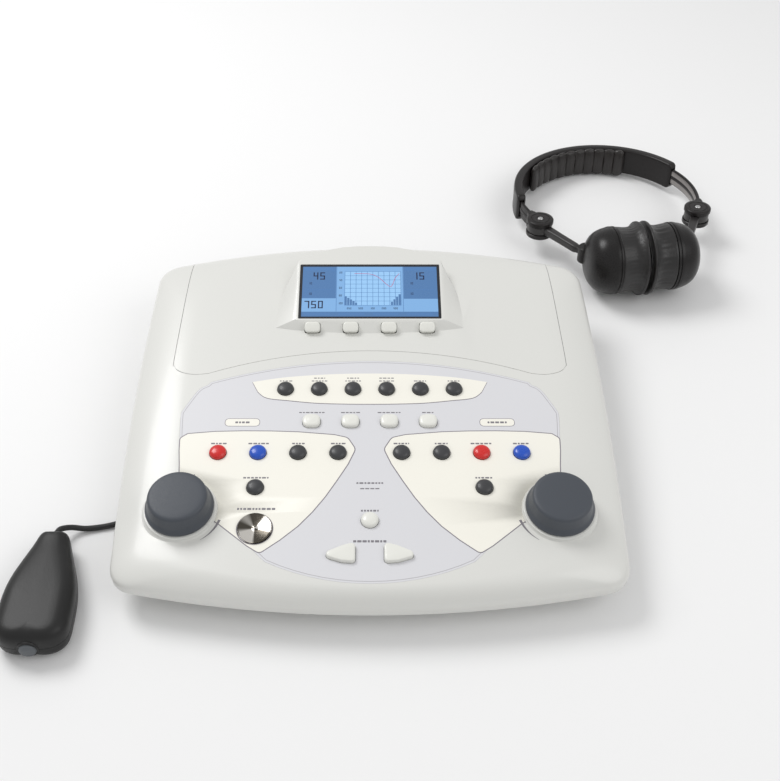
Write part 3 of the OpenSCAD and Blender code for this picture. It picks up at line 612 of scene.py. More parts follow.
def add_cover():
    cover = shell("cover", 0, 0, 0)
    cut(cover, [shell("cutter", WALL, WALL, 6)])
    cut(cover, [prism(deck_outline(SEAM), -60, 40)])
    cut(cover, [prism(overlay_outline(), -0.8, 20)])
    for p in panel_openings():
        cut(cover, [prism(p, -5, 5)])
    r, h = PEDESTAL_R, PEDESTAL_H
    rings = [revolve("pedestal", [(0, -1.2), (r + 1.6, -1.2), (r + 1.1, -0.2), (r + 0.45, 0.25),
                                  (r + 0.12, 0.9), (r, 1.6), (r, h - 0.7), (r - 0.25, h - 0.2),
                                  (r - 0.8, h), (r - 4, h - 0.02), (0, h - 0.05)],
                     PANEL @ move(s * KNOB_X, KNOB_V), 128) for s in (-1, 1)]
    cover = join([cover] + rings, "console_cover")
    finish_shading(cover.data, 30)
    return dress(cover, M["shell"], "console", "shell", "top_cover")


def hood_rings(low, steps=7):
    """Rings from the hood's foot on the deck to its top plane."""
    right = [(0, 227.7), (22, 228.4), (45, 229.9), (66, 232.6), (84.5, 235.6), (83, 243.5),
             (81.5, 252), (79.9, 261), (78, 271), (73, 288), (66, 303), (59, 314), (50, 324),
             (38, 329.6), (25, 333), (12, 335.2), (0, 336)]
    top = [(0, -0.8), (20, -0.8), (45, -0.8), (60, -0.8), (62, 0.2), (62, 14), (62, 30), (62, 45),
           (62, 61), (61.4, 64.4), (58, 67.6), (54, 69.6), (47, 72.4), (35, 77), (24, 79.6),
           (12, 80.8), (0, 81)]
    inv = PANEL.inverted() @ HOOD

    def full(pts):
        return [Vector(p) for p in pts] + [Vector((-p[0], p[1])) for p in pts[-2:0:-1]]

    pairs = [(Vector((a.x, a.y, -low)), inv @ Vector((b.x, b.y, 0)))
             for a, b in zip(full(right), full(top))]
    rings = [[p.lerp(q, i / steps) for p, q in pairs] for i in range(steps + 1)]
    centre = sum(rings[-1], Vector()) / len(rings[-1])
    last = [p.lerp(rings[-2][i], 0.10) for i, p in enumerate(rings[-1])]
    return rings[:-1] + [last] + [[p.lerp(centre, k) for p in rings[-1]] for k in (0.008, 0.022)]


def add_deck():
    deck = shell("deck", 0, 0, 0)
    cut(deck, [shell("cutter", WALL, WALL, 6)])
    area = prism(inset_outline(deck_outline(-SEAM), 0.0), -60, 40)
    cut(deck, [area], "INTERSECT")
    hood = loft("hood", hood_rings(2), PANEL, smooth=24)
    cut(deck, [hood], "UNION")
    well = prism(rounded_rect(0, 30.3, WINDOW_W, WINDOW_L, 1.2), -1.6, 10, HOOD)
    inner = prism(rounded_rect(0, 30.3, WINDOW_W - 8, WINDOW_L - 8, 0.5), -12, 0, HOOD)
    keys = [prism(rounded_rect(0, 0, 13.6, 9.2, 2.4), -7, 14, soft_key_frame(i)) for i in range(4)]
    cut(deck, [well])
    cut(deck, [inner] + keys)
    deck.name = "display_deck_shell"
    finish_shading(deck.data, 24)
    return dress(deck, M["shell"], "console", "shell", "display_deck")


def add_overlay():
    rim = patch("overlay_film", inset_outline(overlay_outline(), 0.12), panel_openings()
                + [circle(s * KNOB_X, KNOB_V, PEDESTAL_R + 0.5, 72) for s in (-1, 1)],
                -0.78, 0.0)
    return dress(rim, M["overlay"], "console", "overlay", "control_overlay")


add_cover()
add_deck()
add_overlay()

# ---------- console: print on the overlay ----------


def print_patch(name, outline, material, holes, low, high):
    dress(patch(name, outline, holes, low, high), material, "console", "overlay")


def crescent(grow=0.0):
    top = [(-94.5, 177.6), (-70, 182.3), (-43.6, 185), (-20, 186.3), (0, 186.6), (20, 186.3),
           (43.6, 185), (70, 182.3), (94.5, 177.6)]
    low = [(89.4, 167), (81.8, 161), (64.2, 158.4), (42.7, 155.9), (20, 155), (0, 154.8),
           (-20, 155), (-42.7, 155.9), (-64.2, 158.4), (-81.8, 161), (-89.4, 167)]
    pts = spline(top, 5) + spline(low, 5)
    return inset_outline(pts, -grow) if grow else pts


def cream_outline(grow=0.0):
    """Left cream field: an L that holds the stimulus keys and runs in round the interrupter."""
    pts = [(-146.6, 121), (-141, 125.3), (-120, 127.4), (-97.7, 128), (-76, 127.8), (-55.7, 127),
           (-27.7, 124.3), (-17, 121.5), (-10.9, 110.5), (-16.5, 96.5), (-24.6, 81.5),
           (-33.2, 66.5), (-42, 53.6), (-52.1, 41.3), (-64.6, 29.6), (-78.8, 18.4), (-88, 24.6),
           (-99, 33.8), (-110.5, 43.5), (-128, 54), (-141.4, 71.5), (-142.8, 80), (-144.2, 96),
           (-145.8, 109)]
    radii = [4, 2, 0, 0, 0, 0, 6, 6, 6, 0, 0, 0, 0, 0, 0, 4, 3, 0, 3, 6, 3, 0, 0, 0]
    out = fillet(pts, radii, 5)
    return inset_outline(out, grow) if grow else out


def shift_to_side(pts, side):
    return pts if side < 0 else mirrored(pts)


def add_print():
    pedestals = [circle(s * KNOB_X, KNOB_V, PEDESTAL_R + 0.6, 64) for s in (-1, 1)]
    keys = panel_openings(0.05)
    for s in (-1, 1):
        line = shift_to_side(cream_outline(-0.55), s)
        field = shift_to_side(cream_outline(0.25), s)
        near = [k for k in keys if inside(sum(k, Vector((0, 0))) / len(k), field)]
        for nm, loop, mat, lo, hi in (("cream_line", line, M["outline"], 0.004, 0.03),
                                      ("cream_field", field, M["cream"], 0.004, 0.05)):
            ob = patch("%s_%s" % (nm, "left" if s < 0 else "right"), loop, near, lo, hi)
            cut(ob, [prism(pedestals[0 if s < 0 else 1], -1, 2)])
            dress(ob, mat, "console", "overlay")
    cres_keys = [k for k in keys if inside(sum(k, Vector((0, 0))) / len(k), crescent())]
    print_patch("crescent_line", [p + Vector((0, -0.55)) for p in crescent(0.1)], M["outline"],
                cres_keys, 0.004, 0.03)
    print_patch("crescent_field", crescent(-0.1), M["cream"], cres_keys, 0.004, 0.05)
    rim = inset_outline(overlay_outline(), 1.5)
    rim_in = inset_outline(overlay_outline(), 2.05)
    border = patch("overlay_border", rim, [rim_in], 0.004, 0.03)
    cut(border, [prism(loop, -1, 2) for loop in pedestals])
    dress(border, M["border"], "console", "overlay")


def inside(p, loop):
    hit = False
    n = len(loop)
    for i in range(n):
        a, b = loop[i], loop[(i + 1) % n]
        if (a[1] > p[1]) != (b[1] > p[1]):
            if p[0] < (b[0] - a[0]) * (p[1] - a[1]) / (b[1] - a[1]) + a[0]:
                hit = not hit
    return hit


def word(x, v, width, height=1.0):
    """A printed legend without letters: a row of plain dashes of uneven length."""
    rnd = random.Random(int(x * 31 + v * 17 + width))
    boxes, reach = [], 0.0
    while reach < width:
        long = min(rnd.choice((1.5, 2.2, 3.0)), width - reach)
        if long > 0.8:
            boxes.append((reach, long))
        reach += long + 0.75
    span = boxes[-1][0] + boxes[-1][1]
    verts, faces = [], []
    for start, long in boxes:
        k = len(verts)
        bar = rounded_rect(x - span / 2 + start + long / 2, v, long, height, 0.3)
        verts += [(p[0], p[1], 0.07) for p in bar]
        faces.append(tuple(range(k, len(verts))))
    return make("word", verts, faces, PANEL)


def digits(text, x, v, size, frame_mm, h=0.07):
    """Generic numbers drawn as seven-segment strokes."""
    seg = {"0": "abcdef", "1": "bc", "2": "abged", "3": "abgcd", "4": "fgbc", "5": "afgcd",
           "6": "afgedc", "7": "abc", "8": "abcdefg", "9": "abfgcd", "-": "g"}
    w, t = size * 0.52, size * 0.13
    bars = {"a": (0, size - t, w, size), "g": (0, size / 2 - t / 2, w, size / 2 + t / 2),
            "d": (0, 0, w, t), "f": (0, size / 2, t, size), "e": (0, 0, t, size / 2),
            "b": (w - t, size / 2, w, size), "c": (w - t, 0, w, size / 2)}
    verts, faces = [], []
    x0 = x - len(text) * (w + size * 0.2) / 2
    for i, ch in enumerate(text):
        for s in seg[ch]:
            a, b, c, d = bars[s]
            k = len(verts)
            ox = x0 + i * (w + size * 0.2)
            verts += [(ox + a, v - size / 2 + b, h), (ox + c, v - size / 2 + b, h),
                      (ox + c, v - size / 2 + d, h), (ox + a, v - size / 2 + d, h)]
            faces.append((k, k + 1, k + 2, k + 3))
    return make("digits", verts, faces, frame_mm)


def arrow_strip(x, a0, a1, r0=29.6, r1=31.6, n=40):
    """A printed arc beside a knob that thins from the angle a0 to a1."""
    rings = []
    for k in range(n + 1):
        t = k / n
        a = math.radians(a0 + (a1 - a0) * t)
        half = (r1 - r0) / 2 * (1 - 0.9 * t)
        rings.append([(x + r * math.cos(a), KNOB_V + r * math.sin(a), 0.07)
                      for r in ((r0 + r1) / 2 - half, (r0 + r1) / 2 + half)])
    return loft("arc", rings, PANEL, closed=False, caps=(False, False))


def add_legends():
    marks = [word(PRESET_PITCH * (i - 2.5), 178.6, w) for i, w in enumerate((10, 14, 13, 12, 10, 10))]
    marks += [word(PRESET_PITCH * (i - 2.5), 181.6, w) for i, w in ((1, 9), (2, 10), (3, 12))]
    marks += [word(OPTION_PITCH * (i - 1.5), 146.2, w) for i, w in enumerate((20, 15, 19, 10))]
    for s in (-1, 1):
        marks += [word(s * stim_x(i), 115.8, w, 1.4) for i, w in enumerate((12, 10, 16, 12))]
        marks.append(word(s * SIGNAL_X, 83.8, 19 if s < 0 else 13, 1.4))
        marks.append(word(s * KNOB_X, 86.5, 15))
    marks += [word(0, 79, 20, 1.4), word(0, 74, 15), word(0, 54.5, 13, 1.5), word(0, 28.4, 25, 1.8)]
    marks += [word(INTERRUPTER[0], 56, 28, 1.8)]
    marks += [arrow_strip(KNOB_X, 196, 236), arrow_strip(-KNOB_X, -16, -56)]
    dress(join(marks, "printed_legends"), M["legend"], "console", "overlay")
    x, v = PLATE
    for name, w, d, r, high, material in (("side_plates", 26.6, 7, 3.4, 0.045, M["cream"]),
                                          ("side_plate_rims", 27.5, 7.9, 3.8, 0.03, M["outline"])):
        plates = [patch("plate", rounded_rect(s * x, v, w, d, r), (), 0.004, high) for s in (-1, 1)]
        dress(join(plates, name), material, "console", "overlay")
    dress(join([word(-x, v, 12, 1.8), word(x, v, 15, 1.8)], "side_plate_legends"), M["legend"],
          "console", "overlay")


add_print()
add_legends()

# ---------- console: keys and knobs ----------


def dome(r, top, foot=-1.2):
    """Profile of a domed round cap whose top is that high above its panel."""
    pts = [(r - 0.3, foot), (r, foot + 0.3), (r, top * 0.30)]
    for k in range(1, 11):
        a = math.radians(90 * k / 10)
        pts.append((r * math.cos(a) ** 0.82 if k < 10 else 0, top * 0.30 + top * 0.70 * math.sin(a)))
    return pts


def add_round_key(node, x, v, colour):
    ob = revolve(node + "_cap", dome(KEY_R, KEY_RISE), PANEL @ move(x, v), 48, 50)
    dress(ob, M[colour + "_key"], node, "key_" + colour, node)


def pillow(outline, low, top, frame_mm, name, soft=0.45, rings=7):
    """A cap with upright sides and a crowned top over any outline."""
    c = sum((Vector(p[:2]) for p in outline), Vector((0, 0))) / len(outline)
    out = [[(p[0], p[1], low) for p in outline], [(p[0], p[1], top * 0.45) for p in outline]]
    for k in range(1, rings + 1):
        a = math.radians(90 * k / rings)
        share = 1 - soft * (1 - math.cos(a)) if k < rings else 1 - soft
        z = top * (0.45 + 0.45 * math.sin(a))
        out.append([(c.x + (p[0] - c.x) * share, c.y + (p[1] - c.y) * share, z) for p in outline])
    for share, z in ((0.6, 0.97), (0.3, 0.99)):
        q = (1 - soft) * share
        out.append([(c.x + (p[0] - c.x) * q, c.y + (p[1] - c.y) * q, top * z) for p in outline])
    return loft(name, out, frame_mm, smooth=50)


def add_all_keys():
    for i in range(6):
        add_round_key("preset_key_%d" % (i + 1), PRESET_PITCH * (i - 2.5), PRESET_V, "dark")
    for i in range(4):
        node = "option_key_%d" % (i + 1)
        m = PANEL @ move(OPTION_PITCH * (i - 1.5), OPTION_V)
        ob = pillow(rounded_rect(0, 0, 14, 12, 5.8), -1.2, KEY_RISE, m, "option_cap_%d" % (i + 1), 0.5, 10)
        dress(ob, M["white_key"], node, "key_white", node)
    for n, (c, i) in enumerate((("red", 3), ("blue", 2), ("dark", 1), ("dark", 0))):
        add_round_key("stimulus_key_%d" % (n + 1), -stim_x(i), STIM_V, c)
    for n, c in enumerate(("dark", "dark", "red", "blue")):
        add_round_key("masking_key_%d" % (n + 1), stim_x(n), STIM_V, c)
    add_round_key("signal_key", -SIGNAL_X, SIGNAL_V, "dark")
    add_round_key("masking_enable_key", SIGNAL_X, SIGNAL_V, "dark")
    add_round_key("store_key", 0, STORE_V, "white")
    for s, node in ((-1, "frequency_down_key"), (1, "frequency_up_key")):
        ob = pillow(fin_outline(s), -1.2, KEY_RISE - 0.2, PANEL, node + "_cap", 0.16)
        dress(ob, M["white_key"], node, "key_white", node)
    for i in range(4):
        node = "soft_key_%d" % (i + 1)
        ob = pillow(rounded_rect(0, 0, 13, 8.6, 3.4), -3, 2.2, soft_key_frame(i), node + "_cap", 0.26)
        dress(ob, M["white_key"], node, "key_white", node)


def add_interrupter():
    m = PANEL @ move(*INTERRUPTER)
    r = 12.5
    ob = revolve("interrupter_disc", [(0, -1), (r, -1), (r, 1.4), (r - 0.25, 2.1), (r - 0.8, 2.45),
                                      (r - 1.4, 2.3), (r - 6, 1.55), (3.2, 1.0), (2.2, 0.95),
                                      (0.8, 1.15), (0, 1.25)], m, 96, 40)
    dress(ob, brushed_metal(m), "interrupter_button", "interrupter_metal", "interrupter_button")
    ring = revolve("interrupter_ring", [(12.8, -0.5), (13.5, -0.5), (13.5, 0.06), (13.3, 0.12),
                                        (12.95, 0.12), (12.8, 0.0)], m, 96, 50, hole=True)
    dress(ring, M["outline"], "console", "overlay")


def brushed_metal(m):
    """Turned metal: fine rings in the bump, a drawn-out highlight round the centre, and a painted reflection
    of dark and bright wedges in the base colour.
    """
    mat = plastic("interrupter_metal_painted_reflection", (0.62, 0.60, 0.57), 0.2, 700, 0.02, 0.03, metallic=1)
    nt = mat.node_tree
    bsdf = nt.nodes["Principled BSDF"]
    tc = nt.nodes.new("ShaderNodeTexCoord")
    centre = nt.nodes.new("ShaderNodeVectorMath")
    centre.operation = "DISTANCE"
    centre.inputs[1].default_value = (m @ Vector((0, 0, 1))) * MM
    nt.links.new(tc.outputs["Object"], centre.inputs[0])
    wave = nt.nodes.new("ShaderNodeTexNoise")
    wave.noise_dimensions = "1D"
    wave.inputs["Scale"].default_value = 6000
    nt.links.new(centre.outputs["Value"], wave.inputs["W"])
    bump = nt.nodes["Bump"]
    bump.inputs["Strength"].default_value = 0.12
    nt.links.new(wave.outputs["Fac"], bump.inputs["Height"])
    bsdf.inputs["Anisotropic"].default_value = 0.75
    away = nt.nodes.new("ShaderNodeVectorMath")
    away.operation = "SUBTRACT"
    away.inputs[1].default_value = (m @ Vector((0, 0, 1))) * MM
    nt.links.new(tc.outputs["Object"], away.inputs[0])
    cross = nt.nodes.new("ShaderNodeVectorMath")
    cross.operation = "CROSS_PRODUCT"
    cross.inputs[1].default_value = (m.to_3x3() @ Vector((0, 0, 1)))
    nt.links.new(away.outputs["Vector"], cross.inputs[0])
    unit = nt.nodes.new("ShaderNodeVectorMath")
    unit.operation = "NORMALIZE"
    nt.links.new(cross.outputs["Vector"], unit.inputs[0])
    nt.links.new(unit.outputs["Vector"], bsdf.inputs["Tangent"])

    def math_node(kind, *values):
        node = nt.nodes.new("ShaderNodeMath")
        node.operation = kind
        for k, value in enumerate(values):
            if isinstance(value, (int, float)):
                node.inputs[k].default_value = value
            else:
                nt.links.new(value, node.inputs[k])
        return node.outputs["Value"]

    # Painted reflection: dark and bright wedge sectors round the centre, put into the base colour in place of
    # the turned metal's reflections.
    split = nt.nodes.new("ShaderNodeSeparateXYZ")
    nt.links.new(away.outputs["Vector"], split.inputs["Vector"])
    angle = math_node("ARCTAN2", split.outputs["Y"], split.outputs["X"])
    painted_reflection_wedge = math_node("SINE", math_node("MULTIPLY_ADD", angle, 2, 0.5))
    painted_reflection_wedge = math_node("ADD", painted_reflection_wedge, math_node("SINE", math_node("MULTIPLY_ADD", angle, 3, 1.2)))
    share = math_node("MULTIPLY_ADD", painted_reflection_wedge, 1.4, 0.5)
    nt.nodes[-1].use_clamp = True
    mix = nt.nodes.new("ShaderNodeMix")
    mix.data_type = "RGBA"
    mix.inputs["A"].default_value = (0.10, 0.09, 0.075, 1)
    mix.inputs["B"].default_value = (0.80, 0.77, 0.72, 1)
    nt.links.new(share, mix.inputs["Factor"])
    nt.links.new(mix.outputs["Result"], bsdf.inputs["Base Color"])
    return mat


def add_knobs():
    for s, node in ((-1, "left_knob"), (1, "right_knob")):
        m = PANEL @ move(s * KNOB_X, KNOB_V, PEDESTAL_H + 0.5)
        r, t, h = KNOB_R, KNOB_TOP_R, KNOB_H
        prof = [(4, 0.4), (4, 0.1), (r - 0.7, 0), (r - 0.15, 0.35), (r, 0.9), (r, 1.8),
                (r - 0.25, 2.5), (r - 1.0, 3.3), (r - 1.7, 4.4), (r - 2.2, 6), (t + 0.95, h - 3.4),
                (t + 0.7, h - 2.4), (t + 0.2, h - 1.6), (t - 0.5, h - 1.05), (t - 1.4, h - 0.72),
                (t - 3, h - 0.5), (t - 6, h - 0.32), (t - 10, h - 0.16), (t - 15, h - 0.04), (0, h)]
        body = revolve(node + "_cap", prof, m, 128, 40)
        dress(body, M["knob"], node, "knob", node)


add_all_keys()
add_interrupter()
add_knobs()

# ---------- console: display ----------


def glow(name, color, strength=0.45):
    """A lit display colour under glass: mostly its own colour, little shading."""
    mat = plastic(name, color, 0.25, 1500, 0.002, 0.01)
    bsdf = mat.node_tree.nodes["Principled BSDF"]
    bsdf.inputs["Emission Color"].default_value = (*color, 1)
    bsdf.inputs["Emission Strength"].default_value = strength
    return mat


def quads(name, boxes, h):
    verts, faces = [], []
    for x0, y0, x1, y1 in boxes:
        k = len(verts)
        verts += [(x0, y0, h), (x1, y0, h), (x1, y1, h), (x0, y1, h)]
        faces.append((k, k + 1, k + 2, k + 3))
    return make(name, verts, faces, HOOD)


def add_display():
    w, l, y0 = WINDOW_W - 0.5, WINDOW_L - 0.5, 0.75
    x0 = -w / 2
    glass_z = -0.35
    blue = glow("display_blue", (0.055, 0.14, 0.31))
    light = glow("display_light_blue", (0.15, 0.30, 0.52))
    dark = glow("display_dark_blue", (0.055, 0.135, 0.29))
    black = plastic("display_frame", (0.012, 0.013, 0.018), 0.25, 1500, 0.004, 0.1)
    ink = glow("display_ink", (0.012, 0.020, 0.06), 0.1)
    pale = glow("display_pale", (0.22, 0.40, 0.62))
    pink = glow("display_trace", (0.42, 0.10, 0.20), 0.2)
    edge = 2.2

    def at(u, v):
        return (x0 + edge + u * (w - 2 * edge), y0 + edge + (1 - v) * (l - 2 * edge))

    def boxes(*items):
        return [(*at(a, d), *at(c, b)) for a, b, c, d in items]

    body = loft("display_glass", [[(p[0], p[1], z) for p in rounded_rect(0, y0 + l / 2, w, l, 0.8)]
                                  for z in (-1.55, glass_z)], HOOD)
    dress(body, black, "console", "window", "lcd_window")
    parts = [
        (quads("field", boxes((0, 0, 1, 1)), glass_z + 0.02), light),
        (quads("blocks", boxes((0, 0, 0.25, 0.64), (0.75, 0, 1, 0.65), (0, 0.905, 1, 1)),
               glass_z + 0.04), dark),
        (quads("graph", boxes((0.315, 0.10, 0.73, 0.78)), glass_z + 0.04), pale),
    ]
    grid = [(0.315 + 0.415 * k / 10 - 0.0015, 0.10, 0.315 + 0.415 * k / 10 + 0.0015, 0.78) for k in range(11)]
    grid += [(0.315, 0.10 + 0.68 * k / 8 - 0.003, 0.73, 0.10 + 0.68 * k / 8 + 0.003) for k in range(9)]
    parts.append((quads("grid", boxes(*grid), glass_z + 0.05), blue))
    steps = [(0.315 + 0.019 * k, 0.60 + 0.032 * k, 0.331 + 0.019 * k, 0.775) for k in range(5)]
    steps += [(0.712 - 0.019 * k, 0.56 + 0.05 * k, 0.728 - 0.019 * k, 0.775) for k in range(4)]
    parts.append((quads("steps", boxes(*steps), glass_z + 0.06), dark))
    panes = [(0.012, 0.02, 0.238, 0.08), (0.762, 0.02, 0.988, 0.08)]
    panes += [(0.02, 0.46, 0.225, 0.475), (0.77, 0.46, 0.975, 0.475)]
    panes += [(0.252, 0.0, 0.255, 0.90), (0.745, 0.0, 0.748, 0.90)]
    panes += [(0.02 + 0.25 * k, 0.93, 0.21 + 0.25 * k, 0.975) for k in range(4)]
    parts.append((quads("panes", boxes(*panes), glass_z + 0.06), blue))
    trace = [at(0.385, 0.14), at(0.50, 0.15), at(0.565, 0.22), at(0.625, 0.36), at(0.66, 0.40),
             at(0.69, 0.23), at(0.72, 0.14)]
    pts = spline([(p[0], p[1], 0) for p in trace], 5)
    ring = []
    for i, p in enumerate(pts):
        t = (pts[min(i + 1, len(pts) - 1)] - pts[max(i - 1, 0)]).normalized()
        n = Vector((-t.y, t.x, 0)) * 0.22
        ring.append([(p.x - n.x, p.y - n.y, glass_z + 0.07), (p.x + n.x, p.y + n.y, glass_z + 0.07)])
    parts.append((loft("trace", ring, HOOD, closed=False, caps=(False, False)), pink))
    labels = []
    for text, u, v, size in (("45", 0.13, 0.19, 8.0), ("15", 0.87, 0.19, 8.0), ("750", 0.095, 0.765, 8.0)):
        x, y = at(u, v)
        labels.append(digits(text, x, y, size, HOOD, glass_z + 0.08))
    parts.append((join(labels, "levels"), ink))
    small = []
    for k in range(5):
        x, y = at(0.285, 0.12 + 0.155 * k)
        small.append(digits(str(20 + 20 * k), x, y, 2.0, HOOD, glass_z + 0.08))
    for k in range(5):
        x, y = at(0.35 + 0.085 * k, 0.84)
        small.append(digits(str(250 * 2 ** k)[:3], x, y, 1.9, HOOD, glass_z + 0.08))
    for u in (0.06, 0.81):
        for v in (0.34, 0.55):
            x, y = at(u, v)
            small.append(digits("10", x, y, 2.4, HOOD, glass_z + 0.08))
    parts.append((join(small, "small_digits"), ink))
    for ob, mat in parts:
        ob.name = "display_" + ob.name.split(".")[0]
        dress(ob, mat, "console", "display")


add_display()

# ---------- handset ----------


def handset_outline(n=6):
    """Plan of the handset: full round shoulders at the button end, narrowing to the cord."""
    right = [(0, -97), (6, -97), (11.5, -96.8), (17.5, -95.2), (22.3, -91.8), (25.3, -87.4),
             (26.5, -81.5), (26.55, -74), (26.4, -66), (26.0, -57), (25.0, -48.5), (22.9, -39),
             (20.1, -30), (16.9, -20.5), (13.7, -11.2), (11.5, -4.6), (10.2, -1.9), (8.2, -0.4),
             (5.4, -0.05), (2.5, 0), (0, 0)]
    half = spline(right, n)
    return half + mirrored(half[1:-1])


def handset_height(y):
    """Half thickness along the handset: full at the button end, slimmer at the cord."""
    t = min(max((y + 60) / 58, 0), 1)
    return 14 - 3.4 * (t * t * (3 - 2 * t))


def add_handset():
    outline = handset_outline()

    def level(k):
        """k from -1 (table) to 1 (top): superellipse section with soft shoulders."""
        a = abs(k)
        share = (1 - a ** 3.4) ** (1 / 2.6)
        ring = []
        for p in outline:
            spine = Vector((0, min(max(p.y, -82), -6)))
            d = p - spine
            reach = d.length
            ease = 1 - (1 - share) * min(1, 15 / max(reach, 1e-6)) if reach > 15 else share
            q = spine + d * ease
            ring.append((q.x, q.y, 14 + k * handset_height(p.y)))
        return ring

    ks = [-1, -0.985, -0.95, -0.89, -0.8, -0.68, -0.52, -0.34, -0.16, -0.022]
    for up, node in ((False, "response_lower_shell"), (True, "response_upper_shell")):
        rows = [level(k) for k in ks]
        if up:
            rows = [[(p[0], p[1], 28 - p[2]) for p in r] for r in rows]
        seam_z = HANDSET_MID + (0.02 if up else -0.02)
        rows.append([(p[0] * 0.985, -62 + (p[1] + 62) * 0.992, seam_z) for p in rows[-1]])
        body = loft(node + "_skin", rows, HANDSET, smooth=40)
        bore = revolve("cutter", [(0, -20), (6.6, -20), (6.6, 18), (0, 18)],
                       HANDSET @ move(0, -HANDSET_L - 4, HANDSET_MID) @ turn("X", -90), 48)
        exit_bore = revolve("cutter", [(0, -12), (3.05, -12), (3.05, 12), (0, 12)],
                            HANDSET @ move(0, 0, HANDSET_MID) @ turn("X", -90), 32)
        cut(body, [bore])
        cut(body, [exit_bore])
        finish_shading(body.data, 40)
        dress(body, M["handset"], "handset", "handset", node)
    m = HANDSET @ move(0, -HANDSET_L - 3.5, HANDSET_MID) @ turn("X", -90)
    r = 6.25
    cap = revolve("response_button_cap", [(0, 0), (2.5, 0.08), (4.3, 0.4), (5.3, 0.95), (5.95, 1.8),
                                          (r, 3), (r, 10), (0, 10)], m, 64, 45)
    dress(cap, M["handset_button"], "response_button", "response_cap", "response_button")
    collar = revolve("handset_collar", [(6.4, 2.9), (7.7, 2.9), (8.1, 3.4), (8.1, 6), (6.4, 6)], m, 64, 45,
                     hole=True)
    dress(collar, M["handset"], "handset", "handset")


add_handset()


def strain_relief():
    m = HANDSET @ move(0, 0, HANDSET_MID) @ turn("X", -90)
    prof = [(2.4, -3), (2.95, -3), (2.95, 0.3), (4.3, 0.35), (4.4, 0.9), (3.6, 1.3)]
    for k in range(3):
        z = 1.35 + k * 0.85
        prof += [(2.92, z), (2.92, z + 0.5), (2.55, z + 0.55), (2.55, z + 0.8)]
    prof += [(2.8, 3.9), (2.6, 4.1), (2.3, 4.1), (2.3, 3)]
    ob = revolve("strain_relief_skin", prof, m, 40, 40, hole=True)
    return dress(ob, M["rubber"], "handset", "cord", "response_strain_relief")


strain_relief()
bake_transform(cord)

# ---------- headset ----------

SLIDER_R = BAND_R - BAND_T / 2
HINGE_A = 117.5
HINGE = (SLIDER_R * math.sin(math.radians(HINGE_A)), ARC_C + SLIDER_R * math.cos(math.radians(HINGE_A)))
TILT = (CUPS_W / 2 - 2.5, 17)
BAND_FROM, BAND_TO, CHANNEL = -94, 66, 46
STRAP_IN = {-1: 64, 1: 50}
PAD_FROM, PAD_TO = -53, 29
PAD_BACK = 26


def arc_point(a, r, z=0.0):
    """Point at a degrees right of the crown, r from the middle of the headband arc."""
    t = math.radians(a)
    return Vector((r * math.sin(t), ARC_C + r * math.cos(t), z))


def arc_sweep(name, section, from_a, to_a, steps=72, shape=None, smooth=35):
    """Sweep a closed (radial, z) section round the arc; shape may change it with the angle."""
    rings = []
    for i in range(steps + 1):
        a = from_a + (to_a - from_a) * i / steps
        ring = []
        for k, (dr, z) in enumerate(section):
            if shape:
                dr, z = shape(a, i / steps, k, dr, z)
            ring.append(tuple(arc_point(a, SLIDER_R + dr, z)))
        rings.append(ring)
    return loft(name, rings, HEADSET, smooth=smooth)


def rounded_section(w, d, r, n=5):
    return [(p[0], p[1]) for p in fillet([(-w / 2, -d / 2), (w / 2, -d / 2), (w / 2, d / 2), (-w / 2, d / 2)],
                                         r, n)]


def ends_taper(t, reach, least=0.35):
    """Round off the ends of a swept piece: a share from least to 1."""
    d = min(t, 1 - t) / reach
    return 1 if d >= 1 else least + (1 - least) * math.sqrt(max(0, 1 - (1 - d) ** 2))


def add_headband():
    def shape(a, t, k, dr, z):
        s = ends_taper(t, 0.02, 0.55)
        return dr * s, z * s

    band = arc_sweep("headband_shell", rounded_section(BAND_T, BAND_W, 2.6, 5), BAND_FROM, BAND_TO,
                     150, shape)
    slots = []
    for a0, a1 in ((BAND_FROM - 1, BAND_FROM + CHANNEL), (BAND_TO - CHANNEL, BAND_TO + 1)):
        slots.append(arc_sweep("cutter", rounded_section(5.2, 18.6, 0.3, 1), a0, a1, 40))
    cut(band, slots)
    finish_shading(band.data, 35)
    dress(band, M["band"], "headset", "band", "headband")
    seams = []
    low, high = BAND_T / 2 - 0.25, BAND_T / 2 + 0.12
    for z in (-9.2, 9.2):
        rib = [(low, z - 0.35), (high, z - 0.25), (high, z + 0.25), (low, z + 0.35)]
        seams.append(arc_sweep("seam", rib, BAND_FROM + 12, BAND_TO - 11, 90))
    dress(join(seams, "headband_ribs"), M["band"], "headset", "band")


def leather(name, color):
    """Soft leatherette: pebbled grain with fine creases."""
    mat = plastic(name, color, 0.34, 900, 0.05, 0.1, sheen=0.05, specular=0.5)
    nt = mat.node_tree
    bump = nt.nodes["Bump"]
    tc = nt.nodes["Texture Coordinate"]
    cells = nt.nodes.new("ShaderNodeTexVoronoi")
    cells.inputs["Scale"].default_value = 950
    nt.links.new(tc.outputs["Object"], cells.inputs["Vector"])
    crease = noise_node(nt, tc, "Object", 120, 4)
    mix = nt.nodes.new("ShaderNodeMath")
    mix.operation = "MULTIPLY_ADD"
    mix.inputs[1].default_value = 2.2
    nt.links.new(crease.outputs["Fac"], mix.inputs[0])
    nt.links.new(cells.outputs["Distance"], mix.inputs[2])
    nt.links.new(mix.outputs["Value"], bump.inputs["Height"])
    bump.inputs["Strength"].default_value = 0.5
    bump.inputs["Distance"].default_value = 0.00025
    return mat


M["leather"] = leather("ear_pad_leather", (0.010, 0.009, 0.009))
M["crown_leather"] = leather("crown_pad_leather", (0.014, 0.011, 0.010))


